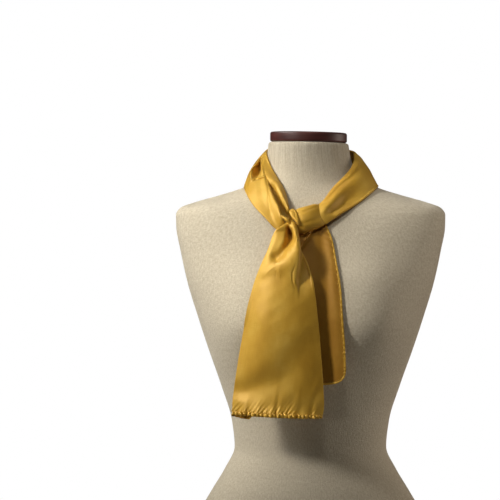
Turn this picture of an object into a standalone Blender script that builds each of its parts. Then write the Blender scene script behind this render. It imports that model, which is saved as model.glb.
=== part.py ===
"""Oblong satin scarf, knotted round the neck of a jersey-covered dress form.

Units are metres, +Z is up and the form faces -Y, so +X is on the right of someone who
looks at its front. The origin is on the floor, under the middle of the neck. The scarf is
one strip of cloth. It is folded lengthwise round the neck, one end turns over the other
and passes up through the loop, and both ends then hang down the front.
"""

import math

import bmesh
import bpy
import numpy as np

# ---------------------------------------------------------------- driving dimensions
CLOTH = 0.0012  # wall of the scarf's layers
SEAM_GAP = 0.0005  # air between pieces of cloth that meet
FOLD_RADIUS = 0.0015  # of a pressed lengthwise fold, to the middle of the wall
UNDER_FOLD = 0.012  # how much of the neck loop's folded edges is turned in
TAIL_UNDER_FOLD = 0.035  # how much of the front tail's left side is turned under
SKIN_CLEARANCE = 0.0012  # least distance of any layer's middle from the torso

BOARD_THICKNESS = 0.012
BOARD_INSET = 0.004  # how far the base board stays inside the torso's foot
BOARD_ROUND = 0.002
BLOCK_THICKNESS = 0.0155
BLOCK_HALF_WIDTH = 0.0560
BLOCK_HALF_DEPTH = 0.0545
BLOCK_ROUND = 0.0018
BLOCK_LEAN = 1.2  # degrees: its right side is a little lower

# The torso's level sections, from its foot to the top of its neck. `front` and `back` are
# reaches from the neck's axis, and `power` is a superellipse's: 2 is an ellipse, more is squarer.
TORSO_COLUMNS = ("height", "half_width", "front", "back", "power")
TORSO_ROWS = (
    (0.0124, 0.184, 0.094, 0.098, 2.3),
    (0.060, 0.190, 0.099, 0.110, 2.3),
    (0.110, 0.193, 0.103, 0.121, 2.3),
    (0.160, 0.191, 0.107, 0.127, 2.3),
    (0.210, 0.181, 0.109, 0.122, 2.3),
    (0.255, 0.162, 0.107, 0.109, 2.2),
    (0.290, 0.142, 0.101, 0.095, 2.15),
    (0.320, 0.124, 0.094, 0.083, 2.1),
    (0.352, 0.110, 0.089, 0.075, 2.1),
    (0.390, 0.114, 0.091, 0.071, 2.1),
    (0.440, 0.129, 0.103, 0.073, 2.15),
    (0.490, 0.146, 0.122, 0.080, 2.25),
    (0.540, 0.1625, 0.132, 0.087, 2.3),
    (0.590, 0.178, 0.127, 0.092, 2.35),
    (0.640, 0.189, 0.110, 0.093, 2.4),
    (0.670, 0.1945, 0.098, 0.090, 2.4),
    (0.688, 0.195, 0.089, 0.086, 2.35),
    (0.698, 0.189, 0.083, 0.082, 2.25),
    (0.707, 0.165, 0.078, 0.078, 2.15),
    (0.716, 0.133, 0.073, 0.074, 2.1),
    (0.726, 0.101, 0.068, 0.070, 2.05),
    (0.738, 0.077, 0.0635, 0.066, 2.0),
    (0.755, 0.0645, 0.060, 0.0625, 2.0),
    (0.775, 0.0605, 0.058, 0.0595, 2.0),
    (0.787, 0.0592, 0.0572, 0.058, 2.0),
    (0.791, 0.0580, 0.0560, 0.0568, 2.0),
    (0.7925, 0.0550, 0.0532, 0.0540, 2.0),
)
BUST = {
    "spacing": 0.078,
    "height": 0.540,
    "rise": 0.020,
    "half_width": 0.050,
    "above": 0.085,
    "below": 0.058,
}

# The loop round the neck, from the knot round its left side and nape and back to the knot.
# Each row gives the two edges of the folded band, and how far its middle stands out.
LOOP_COLUMNS = ("inner_x", "inner_y", "inner_z", "outer_x", "outer_y", "outer_z", "swell")
LOOP_ROWS = (
    (-0.0335, -0.1065, 0.6830, -0.033, -0.1100, 0.6690, 0.001),
    (-0.0385, -0.0960, 0.6990, -0.047, -0.1070, 0.6685, 0.003),
    (-0.037, -0.0800, 0.7150, -0.067, -0.0950, 0.6870, 0.005),
    (-0.041, -0.0680, 0.7270, -0.083, -0.0780, 0.7040, 0.006),
    (-0.050, -0.0500, 0.7430, -0.092, -0.0540, 0.7190, 0.006),
    (-0.058, -0.0340, 0.7570, -0.095, -0.0300, 0.7270, 0.006),
    (-0.063, -0.0130, 0.7720, -0.0955, -0.0050, 0.7320, 0.006),
    (-0.065, 0.0100, 0.7810, -0.092, 0.0260, 0.7340, 0.005),
    (-0.054, 0.0400, 0.7850, -0.077, 0.0580, 0.7350, 0.004),
    (-0.030, 0.0600, 0.7850, -0.043, 0.0800, 0.7340, 0.004),
    (0.000, 0.0660, 0.7850, 0.000, 0.0860, 0.7340, 0.004),
    (0.030, 0.0600, 0.7845, 0.043, 0.0800, 0.7340, 0.004),
    (0.054, 0.0400, 0.7830, 0.078, 0.0580, 0.7340, 0.004),
    (0.066, 0.0100, 0.7780, 0.094, 0.0260, 0.7330, 0.004),
    (0.067, -0.0120, 0.7700, 0.098, -0.0060, 0.7310, 0.004),
    (0.061, -0.0330, 0.7570, 0.091, -0.0380, 0.7260, 0.005),
    (0.047, -0.0530, 0.7440, 0.076, -0.0650, 0.7180, 0.006),
    (0.030, -0.0710, 0.7270, 0.055, -0.0830, 0.7050, 0.005),
    (0.0135, -0.0890, 0.7020, 0.033, -0.0960, 0.6910, 0.004),
    (0.002, -0.0955, 0.6940, 0.014, -0.1040, 0.6775, 0.002),
    (-0.011, -0.0990, 0.6890, -0.006, -0.1050, 0.6730, 0.001),
)

# Lengthwise folds of the loop. `start` and `end` are rows of its table, and the others are
# shares of the panel's width from its inner edge, and rises above its surface.
LOOP_FOLD_COLUMNS = ("start", "end", "across0", "across1", "width", "rise0", "rise1")
LOOP_FOLDS = (
    (-1.0, 5.2, 0.42, 0.26, 0.10, -0.0085, -0.0020),
    (-1.0, 6.5, 0.16, 0.12, 0.10, 0.0022, 0.0010),
    (0.5, 6.0, 0.66, 0.60, 0.12, 0.0016, 0.0010),
    (5.6, 7.2, 0.45, 0.42, 0.10, -0.0040, -0.0030),
    (13.6, 17.5, 0.78, 0.70, 0.12, -0.0018, -0.0020),
)
LOOP_LEFT_END = 7.6  # rows of the table where the left, nape and right bands part
LOOP_RIGHT_START = 12.4

# The turn of cloth over the right band, beside the knot: its top and bottom edges, and how
# far it stands in front of the line between them and behind it.
WRAP_COLUMNS = ("top_x", "top_y", "top_z", "bottom_x", "bottom_y", "bottom_z", "front", "back")
WRAP_ROWS = (
    (-0.0225, -0.0985, 0.6945, -0.0160, -0.1135, 0.6665, 0.0115, 0.0080),
    (-0.0130, -0.0980, 0.6970, -0.0090, -0.1128, 0.6670, 0.0120, 0.0080),
    (-0.0030, -0.0955, 0.6995, 0.0010, -0.1105, 0.6690, 0.0110, 0.0078),
    (0.0060, -0.0915, 0.7025, 0.0095, -0.1080, 0.6720, 0.0085, 0.0072),
    (0.0110, -0.0885, 0.7042, 0.0148, -0.1058, 0.6745, 0.0062, 0.0066),
)

# The rolled turn that comes up through the loop and over the front.
KNOT_COLUMNS = ("x", "y", "z", "half_width", "half_depth")
KNOT_ROWS = (
    (-0.0262, -0.0925, 0.6870, 0.0040, 0.0036),
    (-0.0285, -0.1010, 0.6930, 0.0046, 0.0040),
    (-0.0297, -0.1110, 0.6942, 0.0051, 0.0044),
    (-0.0285, -0.1185, 0.6912, 0.0053, 0.0046),
    (-0.0255, -0.1228, 0.6858, 0.0050, 0.0046),
    (-0.0228, -0.1256, 0.6800, 0.0045, 0.0043),
    (-0.0204, -0.1258, 0.6745, 0.0034, 0.0036),
)

# The tails, from the knot down: the ends of each row of cloth, how far its middle arches up,
# and how far its left, middle and right stand in front. The front tail's are measured from
# the neck's axis, and the rear tail's from the torso.
TAIL_COLUMNS = ("left_x", "left_z", "right_x", "right_z", "crown", "left", "middle", "right")
FRONT_TAIL_ROWS = (
    (-0.0430, 0.6735, -0.0080, 0.6690, 0.0060, 0.1215, 0.1110, 0.1050),
    (-0.0520, 0.6670, -0.0090, 0.6620, 0.0035, 0.1240, 0.1150, 0.1080),
    (-0.0572, 0.6580, -0.0120, 0.6540, 0.0020, 0.1260, 0.1200, 0.1120),
    (-0.0598, 0.6430, -0.0145, 0.6420, 0.0000, 0.1290, 0.1270, 0.1180),
    (-0.0695, 0.6200, -0.0085, 0.6200, 0.0000, 0.1350, 0.1375, 0.1290),
    (-0.0810, 0.5920, -0.0005, 0.5920, 0.0000, 0.1430, 0.1460, 0.1370),
    (-0.0905, 0.5580, 0.0045, 0.5580, 0.0000, 0.1485, 0.1530, 0.1430),
    (-0.0970, 0.5240, 0.0080, 0.5240, 0.0000, 0.1505, 0.1555, 0.1450),
    (-0.1030, 0.4900, 0.0108, 0.4900, 0.0000, 0.1505, 0.1560, 0.1460),
    (-0.1080, 0.4560, 0.0132, 0.4560, 0.0000, 0.1500, 0.1555, 0.1460),
    (-0.1115, 0.4280, 0.0145, 0.4280, 0.0000, 0.1495, 0.1550, 0.1460),
    (-0.1120, 0.4120, 0.0120, 0.4080, 0.0000, 0.1490, 0.1545, 0.1460),
)
REAR_TAIL_ROWS = (
    (-0.0120, 0.6840, 0.0150, 0.6840, 0.0000, 0.0027, 0.0027, 0.0027),
    (-0.0180, 0.6730, 0.0200, 0.6730, 0.0000, 0.0028, 0.0030, 0.0028),
    (-0.0290, 0.6540, 0.0260, 0.6540, 0.0000, 0.0032, 0.0040, 0.0035),
    (-0.0420, 0.6230, 0.0320, 0.6230, 0.0000, 0.0035, 0.0045, 0.0035),
    (-0.0530, 0.5850, 0.0370, 0.5850, 0.0000, 0.0035, 0.0040, 0.0035),
    (-0.0630, 0.5430, 0.0410, 0.5430, 0.0000, 0.0035, 0.0040, 0.0035),
    (-0.0720, 0.5020, 0.0440, 0.5020, 0.0000, 0.0035, 0.0040, 0.0035),
    (-0.0790, 0.4650, 0.0450, 0.4700, 0.0000, 0.0035, 0.0040, 0.0035),
    (-0.0810, 0.4430, 0.0440, 0.4570, 0.0000, 0.0035, 0.0040, 0.0035),
)

# Folds of the tails: each is a line of places, with its half-width and its rise there, which
# is negative for a hollow. `skew` makes its right side steeper than its left.
FOLD_COLUMNS = ("x", "z", "width", "rise")
FRONT_TAIL_FOLDS = (
    {
        "name": "hollow below the knot",
        "skew": 0.35,
        "line": (
            (-0.0345, 0.6680, 0.0050, -0.0030),
            (-0.0370, 0.6560, 0.0065, -0.0075),
            (-0.0420, 0.6430, 0.0080, -0.0075),
            (-0.0500, 0.6300, 0.0080, -0.0040),
        ),
    },
    {
        "name": "left ridge",
        "skew": 0.0,
        "line": (
            (-0.0500, 0.6650, 0.0060, 0.0010),
            (-0.0580, 0.6420, 0.0060, 0.0020),
            (-0.0740, 0.6120, 0.0100, 0.0020),
        ),
    },
    {
        "name": "centre ridge",
        "skew": 0.45,
        "line": (
            (-0.0275, 0.6780, 0.0055, 0.0070),
            (-0.0255, 0.6640, 0.0060, 0.0135),
            (-0.0245, 0.6480, 0.0065, 0.0110),
            (-0.0225, 0.6200, 0.0080, 0.0070),
            (-0.0170, 0.5750, 0.0120, 0.0015),
        ),
    },
    {
        "name": "rim of the hollow",
        "skew": -0.2,
        "line": (
            (-0.0290, 0.6420, 0.0050, 0.0010),
            (-0.0370, 0.6290, 0.0060, 0.0030),
            (-0.0500, 0.6160, 0.0080, 0.0025),
        ),
    },
    {
        "name": "slack across the lower half",
        "skew": 0.0,
        "line": ((-0.0050, 0.5150, 0.0180, -0.0020), (-0.0500, 0.4500, 0.0240, -0.0025)),
    },
    {
        "name": "fall from the bust",
        "skew": 0.0,
        "line": ((-0.0700, 0.5600, 0.0180, 0.0025), (-0.0760, 0.5000, 0.0240, 0.0020)),
    },
)
REAR_TAIL_FOLDS = (
    {
        "name": "trough",
        "skew": 0.0,
        "line": ((0.0150, 0.6600, 0.0060, -0.0008), (0.0270, 0.4600, 0.0120, -0.0015)),
    },
    {
        "name": "ridge beside the hem",
        "skew": 0.0,
        "line": ((0.0240, 0.6500, 0.0040, 0.0020), (0.0360, 0.4600, 0.0060, 0.0030)),
    },
)


# ---------------------------------------------------------------- smooth tables
def smooth(xs, ys, at):
    """A curve through the points (xs, ys) that never overshoots them, read at `at`."""
    xs, ys = np.asarray(xs, float), np.asarray(ys, float)
    step = np.diff(xs)
    slope = np.diff(ys) / step
    before, after = slope[:-1], slope[1:]
    weight_a = 2 * step[1:] + step[:-1]
    weight_b = step[1:] + 2 * step[:-1]
    same_way = before * after > 0
    mean = (weight_a + weight_b) * before * after
    mean = mean / np.where(same_way, weight_a * after + weight_b * before, 1.0)
    tangent = np.concatenate(([slope[0]], np.where(same_way, mean, 0.0), [slope[-1]]))
    at = np.clip(np.asarray(at, float), xs[0], xs[-1])
    i = np.clip(np.searchsorted(xs, at, side="right") - 1, 0, len(xs) - 2)
    t = (at - xs[i]) / step[i]
    return (
        ys[i] * (1 + 2 * t) * (1 - t) ** 2
        + tangent[i] * step[i] * t * (1 - t) ** 2
        + ys[i + 1] * t * t * (3 - 2 * t)
        + tangent[i + 1] * step[i] * t * t * (t - 1)
    )


def column(columns, rows, name):
    return [row[columns.index(name)] for row in rows]


def read(columns, rows, name, at):
    """One column of a table, read at any value of its first column."""
    keys = column(columns, rows, columns[0])
    values = column(columns, rows, name)
    if keys[0] > keys[-1]:
        keys, values = keys[::-1], values[::-1]
    return smooth(keys, values, at)


def blend(low, high, value):
    """0 below `low`, 1 above `high`, and a soft step between."""
    t = np.clip((value - low) / (high - low), 0, 1)
    return t * t * (3 - 2 * t)


# ---------------------------------------------------------------- the torso's surface
def torso(name, height):
    return read(TORSO_COLUMNS, TORSO_ROWS, name, height)


def bust_rise(x, z):
    """How far the bust stands forward of the plain section at (x, z)."""
    left = np.exp(-(((x + BUST["spacing"]) / BUST["half_width"]) ** 2))
    right = np.exp(-(((x - BUST["spacing"]) / BUST["half_width"]) ** 2))
    up = z - BUST["height"]
    reach = np.where(up > 0, BUST["above"], BUST["below"])
    return BUST["rise"] * (left + right) * np.exp(-((up / reach) ** 2))


def torso_radius(azimuth, z):
    """Distance of the skin from the neck's axis. Azimuth 0 is the front, and 90 is +X."""
    a = np.radians(azimuth)
    half_width, power = torso("half_width", z), torso("power", z)
    depth = np.where(np.cos(a) > 0, torso("front", z), torso("back", z))
    flat = (np.abs(np.sin(a)) / half_width) ** power + (np.abs(np.cos(a)) / depth) ** power
    radius = flat ** (-1 / power)
    forward = np.sqrt(np.clip(np.cos(a), 0, None))
    return radius + bust_rise(radius * np.sin(a), z) * forward


def torso_front(x, z):
    """The y of the skin that faces forward at (x, z)."""
    half_width, power = torso("half_width", z), torso("power", z)
    inside = np.clip(1 - (np.abs(x) / half_width) ** power, 0, 1)
    return -torso("front", z) * inside ** (1 / power) - bust_rise(x, z)


def lean(x, z):
    """The neck's top and its block are a little lower on the right."""
    return z - math.tan(math.radians(BLOCK_LEAN)) * x * blend(0.74, 0.79, z)


def outside(points):
    """How far points are outside the skin, and the directions away from it."""

    def field(p):
        azimuth = np.degrees(np.arctan2(p[..., 0], -p[..., 1]))
        return np.hypot(p[..., 0], p[..., 1]) - torso_radius(azimuth, p[..., 2])

    step = 0.0004
    here = field(points)
    slope = np.stack(
        [(field(points + d) - field(points - d)) / (2 * step) for d in np.eye(3) * step], -1
    )
    size = np.linalg.norm(slope, axis=-1)
    return here / size, slope / size[..., None]


def clear_of_torso(points, least):
    """Moves points that are nearer the skin than `least` straight away from it."""
    points = np.array(points, float)
    for _ in range(6):
        distance, away = outside(points)
        points += away * np.clip(least - distance, 0, 0.01)[..., None]
    return points


def hanging_front(x, z):
    """The y of cloth that follows the skin down to the bust and then hangs straight."""
    above = z[..., None] + np.linspace(0, 0.16, 40) * np.ones_like(z)[..., None]
    swing = 0.02 * (above - z[..., None])
    return np.min(torso_front(x[..., None], np.minimum(above, 0.70)) + swing, axis=-1)


# ---------------------------------------------------------------- folds
def fold_height(x, z, folds):
    """The sum of ridges and hollows at (x, z), each read from the nearest part of its line."""
    total = np.zeros_like(x)
    for fold in folds:
        nearest = np.full_like(x, 1e9)
        height = np.zeros_like(x)
        for (x0, z0, width0, rise0), (x1, z1, width1, rise1) in zip(fold["line"], fold["line"][1:]):
            length = math.hypot(x1 - x0, z1 - z0)
            ahead = ((x - x0) * (x1 - x0) + (z - z0) * (z1 - z0)) / length
            side = ((x - x0) * (z0 - z1) + (z - z0) * (x1 - x0)) / length
            t = np.clip(ahead / length, 0, 1)
            width, rise = width0 + (width1 - width0) * t, rise0 + (rise1 - rise0) * t
            beyond = ahead - t * length
            away = np.hypot(beyond, side)
            slope = width * (1 - fold["skew"] * np.tanh(2 * side / width))
            here = rise * np.exp(-((beyond / width) ** 2) - (side / slope) ** 2)
            height = np.where(away < nearest, here, height)
            nearest = np.minimum(away, nearest)
        total += height
    return total


def loop_fold_height(along, across):
    """The sum of the neck loop's lengthwise ridges and hollows."""
    total = np.zeros(np.broadcast_shapes(along.shape, across.shape))
    for start, end, across0, across1, width, rise0, rise1 in LOOP_FOLDS:
        t = np.clip((along - start) / (end - start), 0, 1)
        ends = blend(start - 0.3, start + 0.7, along) * (1 - blend(end - 0.9, end + 0.3, along))
        centre, rise = across0 + (across1 - across0) * t, rise0 + (rise1 - rise0) * t
        total += rise * ends * np.exp(-(((across - centre) / width) ** 2))
    return total


def turned_under(panel, inward, length, count):
    """Continues a panel past the first point of each row, round a fold and back beneath it.

    `inward` has, for every point of the panel, the direction of its hidden side.
    """
    edge, along = panel[:, 0], panel[:, 0] - panel[:, 1]
    along /= np.linalg.norm(along, axis=1)[:, None]
    down = inward[:, 0] - np.sum(inward[:, 0] * along, axis=1)[:, None] * along
    down /= np.linalg.norm(down, axis=1)[:, None]
    turns = [
        edge + FOLD_RADIUS * (down * (1 - math.cos(angle)) + along * math.sin(angle))
        for angle in np.linspace(0, math.pi, 5)[1:]
    ]
    beneath = panel + inward * 2 * FOLD_RADIUS
    step = np.linalg.norm(np.diff(beneath, axis=1), axis=2)
    travel = np.concatenate([np.zeros((len(panel), 1)), np.cumsum(step, axis=1)], axis=1)
    wanted = np.asarray(length) * np.linspace(0, 1, count + 1)[1:] * np.ones((len(panel), 1))
    under = np.array(
        [
            np.stack([np.interp(want, way, row[:, k]) for k in range(3)], -1)
            for want, way, row in zip(wanted, travel, beneath)
        ]
    )
    return np.concatenate([under[:, ::-1], np.stack(turns[::-1], axis=1)], axis=1)


# ---------------------------------------------------------------- mesh helpers
def clear_scene():
    for item in list(bpy.data.objects):
        bpy.data.objects.remove(item, do_unlink=True)


def material(name, colour, roughness, metallic=0.0):
    made = bpy.data.materials.new(name)
    made.use_nodes = True
    shader = made.node_tree.nodes["Principled BSDF"]
    shader.inputs["Base Color"].default_value = (*colour, 1.0)
    shader.inputs["Roughness"].default_value = roughness
    shader.inputs["Metallic"].default_value = metallic
    made.diffuse_color = (*colour, 1.0)
    return made


def add_object(name, mesh, look, collection):
    item = bpy.data.objects.new(name, mesh)
    item.data.materials.append(look)
    collection.objects.link(item)
    return item


def grid_mesh(name, points, wrap=False):
    """A mesh of quads over a grid of points. `wrap` joins its last column to its first."""
    rows, columns = points.shape[:2]
    across = columns if wrap else columns - 1
    index = np.arange(rows * columns).reshape(rows, columns)
    faces = [
        (index[i, j], index[i, (j + 1) % columns], index[i + 1, (j + 1) % columns], index[i + 1, j])
        for i in range(rows - 1)
        for j in range(across)
    ]
    mesh = bpy.data.meshes.new(name)
    mesh.from_pydata(points.reshape(-1, 3).tolist(), [], faces)
    return mesh


def cloth(name, points, look, collection):
    """A wall of cloth whose middle is this grid of points."""
    item = add_object(name, grid_mesh(name, points), look, collection)
    wall = item.modifiers.new("wall", "SOLIDIFY")
    wall.thickness = CLOTH
    wall.offset = 0.0
    return item


def loft(name, rings, look, collection):
    """A closed solid through level rings, with flat ends."""
    mesh = grid_mesh(name, rings, wrap=True)
    solid = bmesh.new()
    solid.from_mesh(mesh)
    solid.verts.ensure_lookup_table()
    count, last = rings.shape[1], rings.shape[0] * rings.shape[1]
    solid.faces.new([solid.verts[i] for i in range(count)])
    solid.faces.new([solid.verts[i] for i in range(last - count, last)])
    bmesh.ops.recalc_face_normals(solid, faces=solid.faces)
    solid.to_mesh(mesh)
    solid.free()
    return add_object(name, mesh, look, collection)


# ---------------------------------------------------------------- the dress form
def build_torso(look, collection):
    heights = np.concatenate(
        [
            np.linspace(0.0124, 0.66, 30),
            np.linspace(0.672, 0.740, 11),
            np.linspace(0.752, 0.787, 4),
            [0.791, 0.7925],
        ]
    )
    azimuths = np.arange(0, 360, 7.5)
    a, z = np.meshgrid(azimuths, heights)
    radius, turn = torso_radius(a, z), np.radians(a)
    x = radius * np.sin(turn)
    rings = np.stack([x, -radius * np.cos(turn), lean(x, z)], -1)
    return loft("torso", rings, look, collection)


def build_board(look, collection):
    azimuths = np.arange(0, 360, 7.5)
    foot = torso_radius(azimuths, np.full(azimuths.shape, 0.0124)) - BOARD_INSET
    rings = []
    for height, inset in (
        (0.0, 0.0),
        (BOARD_THICKNESS - BOARD_ROUND, 0.0),
        (BOARD_THICKNESS, BOARD_ROUND),
    ):
        radius, turn = foot - inset, np.radians(azimuths)
        rings.append(
            np.stack([radius * np.sin(turn), -radius * np.cos(turn), np.full_like(turn, height)], -1)
        )
    return loft("base_board", np.array(rings), look, collection)


def build_block(look, collection):
    turn = np.radians(np.arange(0, 360, 7.5))
    low = 0.7925 + 0.0004
    rings = []
    for rise, inset in (
        (0.0, BLOCK_ROUND),
        (BLOCK_ROUND * 0.3, BLOCK_ROUND * 0.3),
        (BLOCK_ROUND, 0.0),
        (BLOCK_THICKNESS - BLOCK_ROUND, 0.0),
        (BLOCK_THICKNESS - BLOCK_ROUND * 0.3, BLOCK_ROUND * 0.3),
        (BLOCK_THICKNESS, BLOCK_ROUND),
    ):
        x = (BLOCK_HALF_WIDTH - inset) * np.sin(turn)
        y = -(BLOCK_HALF_DEPTH - inset) * np.cos(turn)
        rings.append(np.stack([x, y, lean(x, np.full_like(x, low + rise))], -1))
    return loft("neck_block", np.array(rings), look, collection)


# ---------------------------------------------------------------- the scarf's pieces
def loop_columns(along):
    """The loop's table, read at fractional row numbers."""
    numbers = np.arange(len(LOOP_ROWS))
    return {
        name: smooth(numbers, column(LOOP_COLUMNS, LOOP_ROWS, name), along)
        for name in LOOP_COLUMNS
    }


def loop_sections(along, count):
    """The band's visible panel, from its inner edge to its outer edge, one row per section."""
    row = loop_columns(along)
    inner = np.stack([row["inner_x"], row["inner_y"], row["inner_z"]], -1)
    outer = np.stack([row["outer_x"], row["outer_y"], row["outer_z"]], -1)
    across = np.linspace(0, 1, count)[None, :, None]
    points = inner[:, None] * (1 - across) + outer[:, None] * across
    _, away = outside(points)
    rise = row["swell"][:, None] * 4 * across[..., 0] * (1 - across[..., 0])
    rise = rise + loop_fold_height(along[:, None], across[..., 0])
    return clear_of_torso(points + away * rise[..., None], 2 * FOLD_RADIUS + SKIN_CLEARANCE)


def build_band(name, start, end, rows, look, collection):
    """One stretch of the neck loop, with both of its lengthwise folds turned in."""
    panel = loop_sections(np.linspace(start, end, rows), 8)
    _, away = outside(panel)
    first = turned_under(panel, -away, UNDER_FOLD, 1)
    last = turned_under(panel[:, ::-1], -away[:, ::-1], UNDER_FOLD, 1)[:, ::-1]
    points = np.concatenate([first, panel, last], axis=1)
    points = clear_of_torso(points, SKIN_CLEARANCE)
    return cloth(name, points, look, collection)


def build_wrap(look, collection):
    """A turn over the right band, open at the back, where the band comes out."""
    numbers = np.arange(len(WRAP_ROWS))
    along = np.linspace(0, numbers[-1], 7)
    row = {n: smooth(numbers, column(WRAP_COLUMNS, WRAP_ROWS, n), along) for n in WRAP_COLUMNS}
    top = np.stack([row["top_x"], row["top_y"], row["top_z"]], -1)
    bottom = np.stack([row["bottom_x"], row["bottom_y"], row["bottom_z"]], -1)
    centre, up = (top + bottom) / 2, (top - bottom) / 2
    out = np.stack([np.zeros_like(along), -up[:, 2], up[:, 1]], -1)
    out /= np.linalg.norm(out, axis=1)[:, None]
    sections = []
    for angle in np.radians(np.linspace(135, -102, 13)):
        forward = math.copysign(abs(math.cos(angle)) ** 0.75, math.cos(angle))
        rise = math.copysign(abs(math.sin(angle)) ** 0.75, math.sin(angle))
        depth = (row["front"] if forward > 0 else row["back"]) * forward
        sections.append(centre + up * rise + out * depth[:, None])
    return cloth("knot_wrap", np.stack(sections, axis=1), look, collection)


def build_knot(look, collection):
    """The roll that comes up behind the wrap and over its left end."""
    numbers = np.arange(len(KNOT_ROWS))
    along = np.linspace(0, numbers[-1], 12)
    part = {n: smooth(numbers, column(KNOT_COLUMNS, KNOT_ROWS, n), along) for n in KNOT_COLUMNS}
    centre = np.stack([part["x"], part["y"], part["z"]], -1)
    tangent = np.gradient(centre, axis=0)
    tangent /= np.linalg.norm(tangent, axis=1)[:, None]
    side = np.cross(tangent, np.array([[0.25, -0.45, 0.85]]))
    side /= np.linalg.norm(side, axis=1)[:, None]
    out = np.cross(side, tangent)
    sections = [
        centre
        + side * (part["half_width"] * math.sin(angle))[:, None]
        + out * (part["half_depth"] * math.cos(angle))[:, None]
        for angle in np.radians(np.linspace(-140, 140, 10))
    ]
    return cloth("knot", np.stack(sections, axis=1), look, collection)


def tail_panel(rows, folds, along, across, on_torso):
    """A tail's visible face: one row of points per place along its table."""
    numbers = np.arange(len(rows))
    row = {n: smooth(numbers, column(TAIL_COLUMNS, rows, n), along)[:, None] for n in TAIL_COLUMNS}
    s = across[None, :]
    arch = 4 * s * (1 - s)
    x = row["left_x"] * (1 - s) + row["right_x"] * s
    z = row["left_z"] * (1 - s) + row["right_z"] * s + row["crown"] * arch
    forward = row["left"] * (1 - s) + row["right"] * s
    forward = forward + (row["middle"] - (row["left"] + row["right"]) / 2) * arch
    behind = hanging_front(x, z) if on_torso else 0.0
    return np.stack([x, behind - forward - fold_height(x, z, folds), z], -1)


def build_front_tail(look, collection):
    along = np.concatenate([np.linspace(0, 5, 20), np.linspace(5.5, 11, 11)])
    panel = tail_panel(FRONT_TAIL_ROWS, FRONT_TAIL_FOLDS, along, np.linspace(0, 1, 18), False)
    inward = np.zeros_like(panel)
    inward[..., 1] = 1.0
    width = panel[:, -1, 0] - panel[:, 0, 0]
    under = np.minimum(TAIL_UNDER_FOLD, width * 0.3)[:, None]
    points = np.concatenate([turned_under(panel, inward, under, 3), panel], axis=1)
    return cloth("tail_front", clear_of_torso(points, SKIN_CLEARANCE), look, collection)


def build_rear_tail(look, collection):
    along = np.linspace(0, len(REAR_TAIL_ROWS) - 1, 24)
    panel = tail_panel(REAR_TAIL_ROWS, REAR_TAIL_FOLDS, along, np.linspace(0, 1, 14), True)
    points = clear_of_torso(panel, SKIN_CLEARANCE)
    return cloth("tail_rear", points, look, collection)


def build():
    clear_scene()
    collection = bpy.data.collections.new("satin_scarf")
    bpy.context.scene.collection.children.link(collection)

    jersey = material("cream_jersey", (0.62, 0.55, 0.41), 0.85)
    mahogany = material("mahogany", (0.075, 0.018, 0.014), 0.25)
    board = material("dark_board", (0.060, 0.022, 0.016), 0.45)

    build_torso(jersey, collection)
    build_block(mahogany, collection)
    build_board(board, collection)

    def satin(name, tint):
        return material(name, tuple(c * tint for c in (0.62, 0.38, 0.055)), 0.38, 0.25)

    half_gap = SEAM_GAP / 0.027 / 2  # the rows there are 27 mm apart
    last = len(LOOP_ROWS) - 1
    build_band("band_left", 0, LOOP_LEFT_END - half_gap, 22, satin("satin_band_left", 1.0), collection)
    build_band(
        "band_nape",
        LOOP_LEFT_END + half_gap,
        LOOP_RIGHT_START - half_gap,
        13,
        satin("satin_band_nape", 0.96),
        collection,
    )
    build_band(
        "band_right", LOOP_RIGHT_START + half_gap, last, 23, satin("satin_band_right", 1.02), collection
    )
    build_wrap(satin("satin_wrap", 1.04), collection)
    build_knot(satin("satin_knot", 1.08), collection)
    build_front_tail(satin("satin_tail_front", 1.0), collection)
    build_rear_tail(satin("satin_tail_rear", 0.9), collection)


build()
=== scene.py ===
import math

import bpy
import numpy as np
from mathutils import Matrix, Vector


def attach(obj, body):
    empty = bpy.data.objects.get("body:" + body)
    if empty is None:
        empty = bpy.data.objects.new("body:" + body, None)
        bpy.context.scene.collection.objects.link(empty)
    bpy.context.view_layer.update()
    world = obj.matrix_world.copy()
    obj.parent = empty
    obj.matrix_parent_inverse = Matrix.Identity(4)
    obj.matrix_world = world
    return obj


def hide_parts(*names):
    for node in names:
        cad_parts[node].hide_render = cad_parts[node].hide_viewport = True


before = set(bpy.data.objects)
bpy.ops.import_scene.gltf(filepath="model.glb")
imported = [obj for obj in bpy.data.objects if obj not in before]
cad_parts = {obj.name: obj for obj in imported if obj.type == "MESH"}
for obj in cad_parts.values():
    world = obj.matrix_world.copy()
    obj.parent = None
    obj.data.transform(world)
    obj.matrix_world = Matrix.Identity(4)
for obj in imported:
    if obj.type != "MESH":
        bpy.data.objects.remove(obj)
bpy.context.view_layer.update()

# metres throughout, z up, the form faces -y, origin on the floor under the neck


# a curve through (xs, ys) that never overshoots them, read at any place
def smoothCurve(xs, ys, at):
    xs, ys = np.asarray(xs, float), np.asarray(ys, float)
    step = np.diff(xs)
    slope = np.diff(ys) / step
    before, after = slope[:-1], slope[1:]
    weightA = 2 * step[1:] + step[:-1]
    weightB = step[1:] + 2 * step[:-1]
    sameWay = before * after > 0
    mean = (weightA + weightB) * before * after
    mean = mean / np.where(sameWay, weightA * after + weightB * before, 1.0)
    tangent = np.concatenate(([slope[0]], np.where(sameWay, mean, 0.0), [slope[-1]]))
    at = np.clip(np.asarray(at, float), xs[0], xs[-1])
    i = np.clip(np.searchsorted(xs, at, side="right") - 1, 0, len(xs) - 2)
    t = (at - xs[i]) / step[i]
    return (
        ys[i] * (1 + 2 * t) * (1 - t) ** 2
        + tangent[i] * step[i] * t * (1 - t) ** 2
        + ys[i + 1] * t * t * (3 - 2 * t)
        + tangent[i + 1] * step[i] * t * t * (t - 1)
    )


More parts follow.
